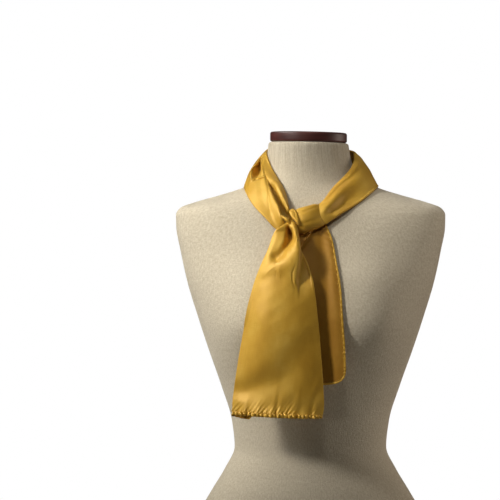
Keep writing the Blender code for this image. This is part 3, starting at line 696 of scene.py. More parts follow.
# the loop round the neck, from the knot round its left side and nape and back
neckLoop = {
    "columns": ("innerX", "innerY", "innerZ", "outerX", "outerY", "outerZ", "swell"),
    "rows": (
        (-0.0275, -0.1040, 0.6860, -0.030, -0.1105, 0.6690, 0.001),
        (-0.0325, -0.0935, 0.6980, -0.047, -0.1090, 0.6685, 0.003),
        (-0.0362, -0.0752, 0.7145, -0.067, -0.1000, 0.6870, 0.004),
        (-0.0410, -0.0645, 0.7275, -0.083, -0.0820, 0.7040, 0.005),
        (-0.050, -0.0500, 0.7430, -0.092, -0.0575, 0.7190, 0.005),
        (-0.058, -0.0340, 0.7570, -0.095, -0.0300, 0.7270, 0.006),
        (-0.063, -0.0130, 0.7720, -0.0955, -0.0050, 0.7320, 0.006),
        (-0.065, 0.0100, 0.7810, -0.092, 0.0260, 0.7340, 0.005),
        (-0.054, 0.0400, 0.7850, -0.077, 0.0580, 0.7350, 0.004),
        (-0.030, 0.0600, 0.7850, -0.043, 0.0800, 0.7340, 0.004),
        (0.000, 0.0660, 0.7850, 0.000, 0.0860, 0.7340, 0.004),
        (0.030, 0.0600, 0.7845, 0.043, 0.0800, 0.7340, 0.004),
        (0.054, 0.0400, 0.7830, 0.078, 0.0580, 0.7340, 0.004),
        (0.066, 0.0100, 0.7780, 0.094, 0.0260, 0.7330, 0.004),
        (0.0635, -0.0150, 0.7690, 0.097, -0.0060, 0.7310, 0.004),
        (0.058, -0.0360, 0.7570, 0.091, -0.0380, 0.7260, 0.005),
        (0.047, -0.0530, 0.7440, 0.077, -0.0660, 0.7150, 0.006),
        (0.030, -0.0710, 0.7275, 0.056, -0.0845, 0.7010, 0.006),
        (0.0135, -0.0880, 0.7070, 0.034, -0.0985, 0.6870, 0.008),
        (0.003, -0.0945, 0.6995, 0.015, -0.1050, 0.6755, 0.006),
        (-0.011, -0.0985, 0.6930, -0.005, -0.1055, 0.6720, 0.001),
    ),
    # folds as (share from the inner edge, row, half width, rise), pushed towards the front
    "sideFolds": (
        {"name": "pocket", "skew": 0.25, "line": (
            (0.52, 4.52, 0.0040, -0.0040), (0.42, 4.85, 0.0052, -0.0165), (0.32, 5.38, 0.0056, -0.0205),
            (0.26, 5.75, 0.0050, -0.0150), (0.17, 6.12, 0.0040, -0.0050))},
        {"name": "rim of the pocket", "line": (
            (0.12, 6.50, 0.0040, 0.0020), (0.30, 6.25, 0.0050, 0.0060), (0.47, 5.90, 0.0050, 0.0115),
            (0.58, 5.40, 0.0050, 0.0115), (0.65, 4.95, 0.0050, 0.0085), (0.76, 4.60, 0.0060, 0.0025))},
        {"name": "flap beside the pocket", "line": (
            (0.10, 5.80, 0.0024, 0.0014), (0.17, 5.22, 0.0030, 0.0022), (0.26, 4.60, 0.0030, 0.0018))},
        {"name": "tuck below the pocket", "line": (
            (0.60, 4.46, 0.0018, -0.0018), (0.42, 4.22, 0.0018, -0.0024), (0.27, 3.98, 0.0018, -0.0010))},
        {"name": "ridge over the tuck", "line": (
            (0.58, 4.62, 0.0020, 0.0012), (0.42, 4.38, 0.0020, 0.0014), (0.30, 4.16, 0.0020, 0.0006))},
    ),
    "sideFacing": (-0.15, -1.0, 0.05),
    "rowPitch": 0.026,  # metres from one row to the next, for the folds' shape
    "panelWidth": 0.045,
    # the same kind of lines, pushed away from the skin
    "folds": (
        {"name": "deep crease", "skew": -0.45, "line": (
            (0.50, 0.0, 0.0090, -0.0120), (0.44, 0.70, 0.0105, -0.0175), (0.40, 1.2, 0.0076, -0.0175),
            (0.42, 1.6, 0.0052, -0.0155), (0.43, 2.0, 0.0046, -0.0140), (0.39, 2.5, 0.0045, -0.0125),
            (0.355, 3.0, 0.0043, -0.0105),
            (0.315, 3.35, 0.0045, -0.0065), (0.285, 3.6, 0.0036, -0.0010))},
        {"name": "inner roll", "power": 2.6, "line": (
            (0.06, 0.4, 0.0032, 0.0010), (0.13, 1.1, 0.0052, 0.0055), (0.18, 2.0, 0.0060, 0.0060),
            (0.15, 3.0, 0.0054, 0.0052), (0.13, 4.2, 0.0048, 0.0034), (0.12, 6.5, 0.0040, 0.0018))},
        {"name": "dark pocket at the knot", "line": (
            (-0.10, 0.44, 0.0084, -0.0120), (0.30, 0.44, 0.0088, -0.0130), (0.66, 0.40, 0.0076, -0.0080))},
        {"name": "fine line on the inner roll", "line": (
            (0.12, 1.2, 0.0010, -0.0006), (0.20, 2.0, 0.0011, -0.0008), (0.17, 3.0, 0.0012, -0.0006))},
        {"name": "lip left of the crease", "skew": 0.5, "power": 2.2, "lean": -0.35, "line": (
            (0.80, 0.7, 0.0042, 0.0045), (0.66, 1.25, 0.0050, 0.0090), (0.57, 1.7, 0.0054, 0.0095),
            (0.55, 2.0, 0.0056, 0.0090), (0.475, 2.6, 0.0052, 0.0078), (0.43, 3.1, 0.0048, 0.0064),
            (0.37, 3.6, 0.0042, 0.0038), (0.28, 4.2, 0.0036, 0.0018), (0.10, 5.6, 0.0030, 0.0010))},
        {"name": "pleat line", "line": (
            (0.80, 1.9, 0.0020, -0.0006), (0.54, 2.74, 0.0018, -0.0016), (0.38, 3.54, 0.0015, -0.0021),
            (0.26, 4.15, 0.0014, -0.0020), (0.14, 5.12, 0.0013, -0.0012), (0.08, 6.0, 0.0012, -0.0005))},
        {"name": "belly of the outer panel", "line": (
            (0.86, 1.6, 0.0070, 0.0004), (0.76, 3.0, 0.0100, 0.0006), (0.66, 4.2, 0.0080, 0.0008))},
        {"name": "slack behind the left ear", "line": (
            (0.30, 8.2, 0.0060, -0.0020), (0.55, 9.6, 0.0070, -0.0018))},
        {"name": "nape pleat", "line": (
            (0.62, 8.4, 0.0030, -0.0016), (0.45, 10.4, 0.0040, -0.0022), (0.52, 12.2, 0.0034, -0.0016))},
        {"name": "nape roll", "line": (
            (0.22, 8.8, 0.0050, 0.0014), (0.26, 11.0, 0.0060, 0.0020), (0.18, 12.8, 0.0050, 0.0014))},
        {"name": "right trough", "line": (
            (0.60, 14.2, 0.0080, -0.0006), (0.62, 15.6, 0.0100, -0.0014), (0.68, 17.2, 0.0084, -0.0030),
            (0.66, 18.4, 0.0048, -0.0014))},
        {"name": "right crest", "line": (
            (0.22, 15.4, 0.0080, 0.0001), (0.28, 16.4, 0.0090, 0.0010), (0.34, 17.2, 0.0080, 0.0018),
            (0.40, 18.4, 0.0050, 0.0002))},
        {"name": "shaded lower half on the right", "line": (
            (0.80, 16.0, 0.0070, -0.0008), (0.78, 17.0, 0.0090, -0.0042), (0.74, 18.0, 0.0080, -0.0044))},
        {"name": "rim along the lower edge", "line": (
            (0.985, 15.2, 0.0014, 0.0005), (0.985, 16.8, 0.0014, 0.0009), (0.98, 18.0, 0.0014, 0.0007))},
        {"name": "edge fold on the right", "line": (
            (0.06, 13.6, 0.0030, 0.0012), (0.08, 14.6, 0.0036, 0.0028), (0.08, 15.8, 0.0036, 0.0026),
            (0.08, 17.0, 0.0028, 0.0014), (0.08, 17.8, 0.0022, 0.0010))},
    ),
    "ripples": ((0.00012, 0.014, 0.5, 4), (0.0004, 0.034, 0.6, 5)),  # (height, size, stretch, seed)
    "sections": 430,
    "sectionShares": ((0, 0.54, 0.72, 1), (0, 8, 14, 20)),  # share of the sections, by row
    "pointsAcross": 70,
    "turnedIn": 0.016,
    "turnedInPoints": 9,
    "foldRadius": 0.0013,
    "clearance": 0.0010,
    "wall": 0.0005,
    "cut": (0.088, 0.565),  # the width that shows and its turned-in edges, by the length
}


def buildLoop():
    s = neckLoop
    along = np.interp(np.linspace(0, 1, s["sections"]), *s["sectionShares"])
    row = readRows(s, along)
    inner = np.stack([row["innerX"], row["innerY"], row["innerZ"]], -1)[:, None]
    outer = np.stack([row["outerX"], row["outerY"], row["outerZ"]], -1)[:, None]
    share = np.linspace(0, 1, s["pointsAcross"])[None, :]
    points = inner * (1 - share[..., None]) + outer * share[..., None]
    _, away = outsideSkin(points)
    folds = foldsInMetres(s["folds"], s["panelWidth"], s["rowPitch"])
    sideFolds = foldsInMetres(s["sideFolds"], s["panelWidth"], s["rowPitch"])
    a = share * s["panelWidth"] * np.ones((len(along), 1))
    b = along[:, None] * s["rowPitch"] * np.ones((1, s["pointsAcross"]))
    rise, push = foldField(a, b, folds)
    rise = rise + row["swell"][:, None] * 4 * share * (1 - share)
    for height, size, stretch, seed in s["ripples"]:
        rise = rise + height * wander(a, b * stretch, size, seed)
    sideways = unit(outer - inner)
    points = points + away * rise[..., None] + sideways * push[..., None]
    points = points + unit(np.array(s["sideFacing"])) * foldField(a, b, sideFolds)[0][..., None]
    panel = clearOfSkin(points, 2 * s["foldRadius"] + s["clearance"])
    _, away = outsideSkin(panel)
    turnIn = (s["foldRadius"], s["turnedIn"], s["turnedInPoints"])
    first = turnedUnder(panel, -away, *turnIn)
    last = turnedUnder(panel[:, ::-1], -away[:, ::-1], *turnIn)[:, ::-1]
    points = clearOfSkin(np.concatenate([first, panel, last], axis=1), s["clearance"])
    covered = ["band_left", "band_nape", "band_right"]
    return showSheet("neckBand", points, satin, covered, s["wall"])


neckBand = buildLoop()
print("band round the neck made")

# the turn of cloth over the right band
knotWrap = {
    "columns": ("topX", "topY", "topZ", "bottomX", "bottomY", "bottomZ", "front", "back"),
    "rows": (
        (-0.0250, -0.0985, 0.6945, -0.0225, -0.1120, 0.6640, 0.0110, 0.0080),
        (-0.0150, -0.0985, 0.6985, -0.0130, -0.1125, 0.6635, 0.0125, 0.0080),
        (-0.0060, -0.0965, 0.7008, -0.0035, -0.1110, 0.6665, 0.0120, 0.0078),
        (0.0020, -0.0935, 0.7030, 0.0070, -0.1080, 0.6700, 0.0095, 0.0072),
        (0.0075, -0.0905, 0.7032, 0.0140, -0.1055, 0.6735, 0.0066, 0.0060),
        (0.0100, -0.0880, 0.7020, 0.0165, -0.1030, 0.6750, 0.0048, 0.0050),
    ),
    # folds as (distance from the left end, distance down the front, half width, rise)
    "folds": (
        {"name": "fan line", "line": ((0.004, 0.015, 0.0016, -0.0006), (0.018, 0.013, 0.0022, -0.0009),
                                      (0.034, 0.010, 0.0022, -0.0003))},
        {"name": "lower fan line", "line": ((0.004, 0.026, 0.0016, -0.0006),
                                            (0.020, 0.026, 0.0026, -0.0009),
                                            (0.034, 0.024, 0.0024, -0.0003))},
        {"name": "end lip", "line": ((0.0325, 0.000, 0.0018, 0.0004), (0.0335, 0.016, 0.0018, 0.0006),
                                     (0.0330, 0.034, 0.0016, 0.0006))},
    ),
    "length": 0.037,
    "height": 0.040,
    "turn": (135, -102),  # degrees, over the front from top to bottom
    "squareness": 0.95,
    "ripple": (0.0001, 0.014, 8),  # (height, size, seed)
    "sections": 110,
    "around": 110,
    "wall": 0.0006,
    "cut": (0.054, 0.037),
}


def buildWrap():
    s = knotWrap
    along = sectionsOf(s)
    row = readRows(s, along)
    top = np.stack([row["topX"], row["topY"], row["topZ"]], -1)
    bottom = np.stack([row["bottomX"], row["bottomY"], row["bottomZ"]], -1)
    centre, up = (top + bottom) / 2, (top - bottom) / 2
    out = unit(np.stack([np.zeros_like(along), -up[:, 2], up[:, 1]], -1))
    angles = np.radians(np.linspace(*s["turn"], s["around"]))
    c, v = np.cos(angles)[None, :, None], np.sin(angles)[None, :, None]
    forward, rise = np.sign(c) * np.abs(c) ** s["squareness"], np.sign(v) * np.abs(v) ** s["squareness"]
    depth = np.where(c > 0, row["front"][:, None, None], row["back"][:, None, None]) * forward
    points = centre[:, None] + up[:, None] * rise + out[:, None] * depth
    place = clothPlace(points)
    a = np.broadcast_to((along / along[-1] * s["length"])[:, None], place.shape[:2])
    b = np.broadcast_to((90 - np.degrees(angles))[None, :] / 180 * s["height"], place.shape[:2])
    height, size, seed = s["ripple"]
    height = foldField(a, b, s["folds"])[0] + height * wander(a, b, size, seed)
    points = points + unit(points - centre[:, None]) * height[..., None]
    return showPiece("knotWrap", gridMesh("knotWrap", points, place), satin, ["knot_wrap"],
                     s["wall"])


wrap = buildWrap()

# the rolled turn over the front, and the small pleat to its left
knotRoll = {
    "columns": ("leftX", "leftZ", "rightX", "rightZ", "front", "depth"),
    "rows": (
        (-0.0318, 0.6950, -0.0285, 0.6975, 0.1030, 0.0030),
        (-0.0330, 0.6935, -0.0240, 0.6955, 0.1110, 0.0040),
        (-0.0318, 0.6894, -0.0215, 0.6908, 0.1165, 0.0050),
        (-0.0295, 0.6856, -0.0199, 0.6862, 0.1200, 0.0055),
        (-0.0266, 0.6819, -0.0190, 0.6817, 0.1225, 0.0055),
        (-0.0236, 0.6782, -0.0185, 0.6775, 0.1235, 0.0050),
        (-0.0210, 0.6744, -0.0187, 0.6740, 0.1215, 0.0035),
    ),
    "width": 0.0045,
    "length": 0.027,
    "halfTurn": 160,
    # folds as (across from -1 to 1, along from 0 to 1, half width, rise)
    "folds": (
        {"name": "spoon", "line": ((0.10, 0.14, 0.0016, -0.0006), (0.15, 0.34, 0.0022, -0.0014),
                                   (0.00, 0.55, 0.0020, -0.0009), (0.00, 0.70, 0.0014, -0.0003))},
        {"name": "curl", "line": ((-0.10, 0.20, 0.0007, -0.0004), (0.38, 0.24, 0.0007, -0.0006),
                                  (0.42, 0.36, 0.0007, -0.0006), (-0.05, 0.46, 0.0008, -0.0005),
                                  (-0.10, 0.60, 0.0009, -0.0003))},
    ),
    "sections": 120,
    "around": 90,
    "wall": 0.0006,
    "cut": (0.020, 0.037),
}
knotPleat = {
    "columns": ("x", "y", "z", "halfWidth", "halfDepth"),
    "rows": (
        (-0.0442, -0.1130, 0.6880, 0.0006, 0.0006),
        (-0.0422, -0.1150, 0.6860, 0.0014, 0.0014),
        (-0.0388, -0.1175, 0.6838, 0.0020, 0.0019),
        (-0.0352, -0.1190, 0.6808, 0.0022, 0.0021),
        (-0.0318, -0.1185, 0.6765, 0.0020, 0.0019),
    ),
    "facing": (0.2, -0.9, 0.3),
    "halfTurn": 150,
    "sections": 40,
    "around": 36,
    "wall": 0.0005,
    "cut": (0.010, 0.019),
}


def buildRoll():
    s = knotRoll
    row = readRows(s, sectionsOf(s)[:, None])
    turn = np.radians(np.linspace(-s["halfTurn"], s["halfTurn"], s["around"]))[None, :]
    across, t = np.sin(turn), np.linspace(0, 1, s["sections"])[:, None]
    x = (row["leftX"] + row["rightX"]) / 2 + (row["rightX"] - row["leftX"]) / 2 * across
    z = (row["leftZ"] + row["rightZ"]) / 2 + (row["rightZ"] - row["leftZ"]) / 2 * across
    folds = foldsInMetres(s["folds"], s["width"], s["length"])
    rise, _ = foldField(across * s["width"] * np.ones_like(x), t * s["length"] * np.ones_like(x), folds)
    facing = np.cos(turn)
    y = -(row["front"] - row["depth"]) - row["depth"] * facing - rise * softStep(0.05, 0.5, facing)
    return showSheet("knotRoll", np.stack([x, y, z], -1), satin, ["knot"], s["wall"])


def buildPleat():
    s = knotPleat
    row = readRows(s, sectionsOf(s))
    centre = np.stack([row["x"], row["y"], row["z"]], -1)
    tangent = unit(np.gradient(centre, axis=0))
    side = unit(np.cross(tangent, np.array([s["facing"]])))
    out = np.cross(side, tangent)
    turn = np.radians(np.linspace(-s["halfTurn"], s["halfTurn"], s["around"]))[None, :]
    wide = row["halfWidth"][:, None] * np.sin(turn)
    deep = row["halfDepth"][:, None] * np.cos(turn)
    points = centre[:, None] + side[:, None] * wide[..., None] + out[:, None] * deep[..., None]
    return showSheet("knotPleat", points, satin, (), s["wall"])


roll = buildRoll()
pleat = buildPleat()
print("knot made")

# the tails; the last three columns are how far forward the cloth stands, the front tail's
# from the middle of the form and the rear tail's from the skin that it hangs over
tailColumns = ("leftX", "leftZ", "rightX", "rightZ", "crown", "left", "middle", "right")
frontTail = {
    "columns": tailColumns,
    "rows": (
        (-0.0340, 0.6795, -0.0262, 0.6795, 0.0010, 0.1100, 0.1125, 0.1090),
        (-0.0385, 0.6765, -0.0232, 0.6750, 0.0020, 0.1165, 0.1165, 0.1110),
        (-0.0440, 0.6730, -0.0212, 0.6690, 0.0025, 0.1215, 0.1195, 0.1130),
        (-0.0505, 0.6675, -0.0200, 0.6620, 0.0020, 0.1255, 0.1225, 0.1145),
        (-0.0560, 0.6590, -0.0190, 0.6545, 0.0010, 0.1255, 0.1310, 0.1255),
        (-0.0612, 0.6440, -0.0180, 0.6440, 0.0000, 0.1280, 0.1370, 0.1330),
        (-0.0720, 0.6200, -0.0072, 0.6200, 0.0000, 0.1305, 0.1455, 0.1410),
        (-0.0822, 0.5920, 0.0004, 0.5920, 0.0000, 0.1330, 0.1515, 0.1460),
        (-0.0905, 0.5580, 0.0045, 0.5580, 0.0000, 0.1330, 0.1560, 0.1490),
        (-0.0970, 0.5240, 0.0080, 0.5240, 0.0000, 0.1305, 0.1582, 0.1498),
        (-0.1030, 0.4900, 0.0108, 0.4900, 0.0000, 0.1312, 0.1572, 0.1498),
        (-0.1080, 0.4560, 0.0132, 0.4560, 0.0000, 0.1318, 0.1554, 0.1497),
        (-0.1115, 0.4280, 0.0145, 0.4280, 0.0000, 0.1316, 0.1556, 0.1500),
        (-0.1120, 0.4120, 0.0120, 0.4080, 0.0000, 0.1366, 0.1602, 0.1522),
    ),
    # folds as (x, z, half width, rise)
    "folds": (
        {"name": "dark core", "power": 2.4, "line": (
            (-0.0348, 0.6715, 0.0022, -0.0050), (-0.0335, 0.6680, 0.0030, -0.0135),
            (-0.0315, 0.6620, 0.0038, -0.0195), (-0.0300, 0.6554, 0.0040, -0.0195),
            (-0.0314, 0.6490, 0.0040, -0.0115), (-0.0340, 0.6440, 0.0042, -0.0040))},
        {"name": "hollow", "skew": 0.1, "line": (
            (-0.0356, 0.6610, 0.0026, -0.0056), (-0.0360, 0.6490, 0.0038, -0.0064),
            (-0.0400, 0.6395, 0.0052, -0.0052), (-0.0455, 0.6330, 0.0060, -0.0050),
            (-0.0510, 0.6300, 0.0058, -0.0046))},
        {"name": "top of the rim", "skew": 0.35, "power": 2.6, "line": (
            (-0.0275, 0.6810, 0.0034, 0.0040), (-0.0254, 0.6750, 0.0044, 0.0090),
            (-0.0240, 0.6700, 0.0050, 0.0112), (-0.0231, 0.6650, 0.0052, 0.0116),
            (-0.0227, 0.6610, 0.0048, 0.0094), (-0.0230, 0.6570, 0.0040, 0.0040))},
        {"name": "rim", "skew": -0.5, "power": 2.2, "line": (
            (-0.0252, 0.6610, 0.0050, 0.0040), (-0.0262, 0.6560, 0.0060, 0.0092),
            (-0.0288, 0.6480, 0.0066, 0.0092), (-0.0326, 0.6400, 0.0076, 0.0078),
            (-0.0368, 0.6315, 0.0084, 0.0064), (-0.0420, 0.6245, 0.0090, 0.0052),
            (-0.0475, 0.6205, 0.0092, 0.0042), (-0.0525, 0.6200, 0.0086, 0.0028),
            (-0.0565, 0.6240, 0.0070, 0.0012))},
        {"name": "leaf", "skew": 0.7, "power": 2.4, "line": (
            (-0.0216, 0.6570, 0.0050, 0.0020), (-0.0206, 0.6490, 0.0070, 0.0070),
            (-0.0202, 0.6400, 0.0080, 0.0086), (-0.0212, 0.6300, 0.0082, 0.0084),
            (-0.0228, 0.6200, 0.0082, 0.0068), (-0.0248, 0.6100, 0.0082, 0.0044),
            (-0.0275, 0.5990, 0.0084, 0.0020), (-0.0305, 0.5870, 0.0080, 0.0004))},
        {"name": "flank of the leaf", "skew": 0.6, "line": (
            (-0.0198, 0.6570, 0.0040, 0.0026), (-0.0192, 0.6480, 0.0042, 0.0064),
            (-0.0189, 0.6400, 0.0042, 0.0074), (-0.0197, 0.6320, 0.0042, 0.0050),
            (-0.0207, 0.6250, 0.0042, 0.0030), (-0.0224, 0.6170, 0.0042, 0.0015),
            (-0.0240, 0.6100, 0.0042, 0.0003))},
        {"name": "fine line in the leaf", "line": (
            (-0.0250, 0.6200, 0.0010, -0.0004), (-0.0292, 0.6090, 0.0012, -0.0010),
            (-0.0290, 0.5990, 0.0013, -0.0012), (-0.0262, 0.5890, 0.0010, -0.0004))},
        {"name": "left ridge", "line": (
            (-0.0490, 0.6650, 0.0044, 0.0004), (-0.0570, 0.6460, 0.0046, 0.0014),
            (-0.0630, 0.6320, 0.0056, 0.0028), (-0.0690, 0.6120, 0.0100, 0.0020))},
        {"name": "valley beside the leaf", "skew": -0.55, "power": 2.6, "line": (
            (-0.0170, 0.6420, 0.0018, -0.0030), (-0.0160, 0.6340, 0.0040, -0.0066),
            (-0.0148, 0.6234, 0.0070, -0.0088), (-0.0150, 0.6120, 0.0092, -0.0094),
            (-0.0160, 0.6030, 0.0094, -0.0080), (-0.0168, 0.5950, 0.0088, -0.0050),
            (-0.0172, 0.5870, 0.0076, -0.0024), (-0.0176, 0.5780, 0.0064, -0.0006))},
        {"name": "edge beside the valley", "line": (
            (-0.0085, 0.6260, 0.0010, 0.0006), (-0.0052, 0.6120, 0.0010, 0.0010),
            (-0.0022, 0.5950, 0.0012, 0.0008), (0.0006, 0.5800, 0.0012, 0.0003))},
        {"name": "fall from the bust", "line": (
            (-0.0680, 0.5750, 0.0180, 0.0015), (-0.0740, 0.5400, 0.0220, 0.0030),
            (-0.0760, 0.5000, 0.0240, 0.0015))},
        {"name": "slack across the lower half", "line": (
            (-0.0050, 0.5150, 0.0160, -0.0020), (-0.0450, 0.4640, 0.0180, -0.0038),
            (-0.0850, 0.4480, 0.0140, -0.0040), (-0.1080, 0.4450, 0.0120, -0.0032))},
        {"name": "flare at the foot", "line": (
            (-0.1000, 0.4260, 0.0100, 0.0026), (-0.0600, 0.4180, 0.0100, 0.0014))},
    ),
    # gathers above the foot hem, short ones over longer ones
    "puckers": (
        {"height": 0.0019, "reach": 0.0058, "pitch": 0.0056, "slant": 0.70, "seed": 31},
        {"height": 0.0016, "reach": 0.0150, "pitch": 0.0170, "slant": 0.35, "seed": 37},
    ),
    "seed": 21,
    "sections": 210,
    "pointsAcross": 184,
    "turnedIn": 0.035,
    "turnedInShare": 0.3,  # of the width at most, where the tail is narrow
    "turnedInPoints": 22,
    "foldRadius": 0.0014,
    "under": {"longer": 0.0050, "from": 0.06},  # hangs lower than the front, from this height
    "clearance": 0.0012,
    "wall": 0.0005,
    "cut": (0.165, 0.285),
    "cutArea": 0.036,  # it narrows into the knot
}
rearTail = {
    "columns": tailColumns,
    "rows": (
        (-0.0120, 0.6840, 0.0150, 0.6840, 0.0000, 0.0027, 0.0027, 0.0027),
        (-0.0170, 0.6730, 0.0215, 0.6700, 0.0000, 0.0028, 0.0030, 0.0028),
        (-0.0230, 0.6540, 0.0275, 0.6540, 0.0000, 0.0032, 0.0040, 0.0035),
        (-0.0370, 0.6230, 0.0330, 0.6230, 0.0000, 0.0035, 0.0045, 0.0035),
        (-0.0510, 0.5850, 0.0385, 0.5850, 0.0000, 0.0035, 0.0040, 0.0035),
        (-0.0630, 0.5430, 0.0410, 0.5430, 0.0000, 0.0035, 0.0040, 0.0035),
        (-0.0690, 0.5020, 0.0440, 0.5020, 0.0000, 0.0035, 0.0040, 0.0035),
        (-0.0700, 0.4665, 0.0450, 0.4720, 0.0000, 0.0035, 0.0040, 0.0035),
        (-0.0700, 0.4472, 0.0440, 0.4550, 0.0000, 0.0035, 0.0040, 0.0035),
    ),
    "folds": (
        {"name": "pleat from the knot", "skew": -0.6, "line": (
            (-0.0012, 0.6670, 0.0018, 0.0006), (-0.0030, 0.6626, 0.0018, 0.0018),
            (-0.0089, 0.6542, 0.0020, 0.0034), (-0.0137, 0.6474, 0.0020, 0.0034),
            (-0.0200, 0.6380, 0.0018, 0.0014))},
        {"name": "trough", "line": (
            (0.0120, 0.6640, 0.0060, -0.0014), (0.0135, 0.6500, 0.0072, -0.0024),
            (0.0150, 0.6300, 0.0080, -0.0022), (0.0200, 0.5900, 0.0090, -0.0017),
            (0.0250, 0.5200, 0.0100, -0.0015), (0.0230, 0.4600, 0.0080, -0.0010))},
        {"name": "ridge beside the hem", "line": (
            (0.0225, 0.6500, 0.0050, 0.0012), (0.0310, 0.5500, 0.0070, 0.0020),
            (0.0340, 0.5000, 0.0075, 0.0016), (0.0350, 0.4600, 0.0080, 0.0006))},
    ),
    "pucker": {"height": 0.0006, "reach": 0.006, "pitch": 0.0085, "slant": 0.5, "seed": 51},
    "corner": {"raised": 0.0110, "reach": 0.0060, "upTo": 0.0200},
    "seed": 41,
    "sections": 170,
    "pointsAcross": 84,
    "clearance": 0.0013,
    "wall": 0.0005,
    "cut": (0.125, 0.245),
    "cutArea": 0.0224,
}
# how far the cloth hangs free below the fullest place above it
hanging = {"reach": 0.16, "places": 33, "swing": 0.02, "top": 0.70}
# slow unevenness of a tail, the first growing from its top, as (height, size, stretch)
tailRipples = {"wide": (0.0006, 0.070, 0.6), "fine": (0.00010, 0.024, 1.0), "grownBy": 0.5}
# how unevenly gathers run, as (share, size, stretch) for each wandering
gathering = {"phase": (1.6, 0.030, 0.3), "size": (0.35, 0.022, 0.2), "level": 0.80, "reach": (0.5, 0.04)}


# the y of cloth that follows the skin down to the bust and then hangs straight
def hangingFront(x, z):
    s = hanging
    above = z[..., None] + np.linspace(0, s["reach"], s["places"]) * np.ones_like(z)[..., None]
    swing = s["swing"] * (above - z[..., None])
    return np.min(torsoFront(x[..., None], np.minimum(above, s["top"])) + swing, axis=-1)


# one tail's face, with the depth that its folds add
def tailFace(s, onTorso):
    row = readRows(s, sectionsOf(s)[:, None])
    share = np.linspace(0, 1, s["pointsAcross"])[None, :]
    arch = 4 * share * (1 - share)
    x = row["leftX"] * (1 - share) + row["rightX"] * share
    z = row["leftZ"] * (1 - share) + row["rightZ"] * share + row["crown"] * arch
    forward = row["left"] * (1 - share) + row["right"] * share
    forward = forward + (row["middle"] - (row["left"] + row["right"]) / 2) * arch
    rise, push = foldField(x, z, s["folds"])
    loose = softStep(0.0, tailRipples["grownBy"], np.linspace(0, 1, s["sections"]))[:, None]
    height, size, stretch = tailRipples["wide"]
    rise = rise + height * loose * wander(x, z * stretch, size, s["seed"])
    height, size, stretch = tailRipples["fine"]
    rise = rise + height * wander(x, z * stretch, size, s["seed"] + 1)
    behind = hangingFront(x, z) if onTorso else 0.0
    return np.stack([x + push, behind - forward - rise, z], -1)


# small gathers that stand out along an edge and fade away from it
def puckered(points, distance, lengthways, p):
    g, seed = gathering, p["seed"]
    share, size, stretch = g["phase"]
    phase = 2 * math.pi * (lengthways - p["slant"] * distance) / p["pitch"]
    phase = phase + share * wander(lengthways, distance * stretch, size, seed)
    share, size, stretch = g["size"]
    height = g["level"] + share * wander(lengthways, distance * stretch, size, seed + 1)
    share, size = g["reach"]
    reach = p["reach"] * (1.0 + share * wander(lengthways, 0 * distance, size, seed + 2))
    moved = points.copy()
    moved[..., 1] -= height * p["height"] * np.exp(-distance / reach) * np.sin(phase)
    return moved


def buildFrontTail():
    s = frontTail
    panel = tailFace(s, False)
    ones = np.ones((s["sections"], 1))
    across = np.linspace(0, s["cut"][0] - s["turnedIn"], s["pointsAcross"])[None, :] * ones
    along = travelled(panel[:, s["pointsAcross"] // 2])[:, None]
    height = panel[..., 2] - panel[-1:, :, 2]
    for pucker in s["puckers"]:
        panel = puckered(panel, height, panel[..., 0], pucker)
    inward = np.zeros_like(panel)
    inward[..., 1] = 1.0
    width = panel[:, -1, 0] - panel[:, 0, 0]
    turnedIn = np.minimum(s["turnedIn"], width * s["turnedInShare"])[:, None]
    folded = turnedUnder(panel, inward, s["foldRadius"], turnedIn, s["turnedInPoints"])
    low = softStep(s["under"]["from"], 0.0, folded[..., 2] - folded[-1:, :, 2])
    depth = np.linspace(1, 0, folded.shape[1])[None, :] ** 0.5
    folded[..., 2] -= s["under"]["longer"] * low * depth
    points = clearOfSkin(np.concatenate([folded, panel], axis=1), s["clearance"])
    count = folded.shape[1]
    acrossUnder = np.linspace(-s["turnedIn"], 0, count, endpoint=False)[None, :] * ones
    across = np.concatenate([acrossUnder, across], axis=1)
    mesh = gridMesh("frontTail", points, np.stack([across, np.broadcast_to(along, across.shape)], -1))
    piece = showPiece("frontTail", mesh, satin, ["tail_front"], s["wall"])
    return piece, points, count


def buildRearTail():
    s = rearTail
    panel = tailFace(s, True)
    edge = np.linalg.norm(np.diff(panel, axis=1), axis=2)
    fromRight = np.cumsum(edge[:, ::-1], axis=1)[:, ::-1]
    fromRight = np.concatenate([fromRight, np.zeros((s["sections"], 1))], axis=1)
    panel = puckered(panel, fromRight, panel[..., 2], s["pucker"])
    corner, height = s["corner"], panel[..., 2] - panel[-1:, :, 2]
    panel[..., 2] += corner["raised"] * np.exp(-fromRight / corner["reach"] - height / corner["upTo"])
    points = clearOfSkin(panel, s["clearance"])
    # the rear tail wears the darkened copy of the satin: its colour carries painted shade for the front
    # tail's shadow
    piece = showSheet("rearTail", points, satinReverseAndPaintedShade, ["tail_rear"], s["wall"])
    return piece, points


frontPiece, frontPoints, frontFold = buildFrontTail()
rearPiece, rearPoints = buildRearTail()
print("tails made")

# a narrow roll of turned cloth along each cut edge, drawn up by its stitches
hemRolls = {
    "foot": {"width": 0.0062, "depth": 0.0038, "pitch": 0.0056,
             "groove": 0.80, "slant": 1.3, "every": 0.0006},
    "side": {"width": 0.0030, "depth": 0.0014, "pitch": 0.0066,
             "groove": 0.16, "slant": 0.8, "every": 0.0012},
    "around": 18,
    "twist": 2.2,  # how far the grooves run on round the roll
    "seat": 0.42,  # share of the width from the edge to the roll's middle
    "stray": (1.1, 0.03),  # of the grooves from an even pitch, as (share, size)
    "uneven": (0.7, 0.3, 0.02),  # depth of the grooves, as (least, share, size)
    "sharpness": 1.5,
    "endTaper": 0.4,
}


# the same line with its points evenly spaced, and the way travelled at each
def evenly(line, every):
    way = travelled(line)
    at = np.linspace(0, way[-1], max(4, int(way[-1] / every)))
    return np.stack([np.interp(at, way, line[:, k]) for k in range(3)], -1), at


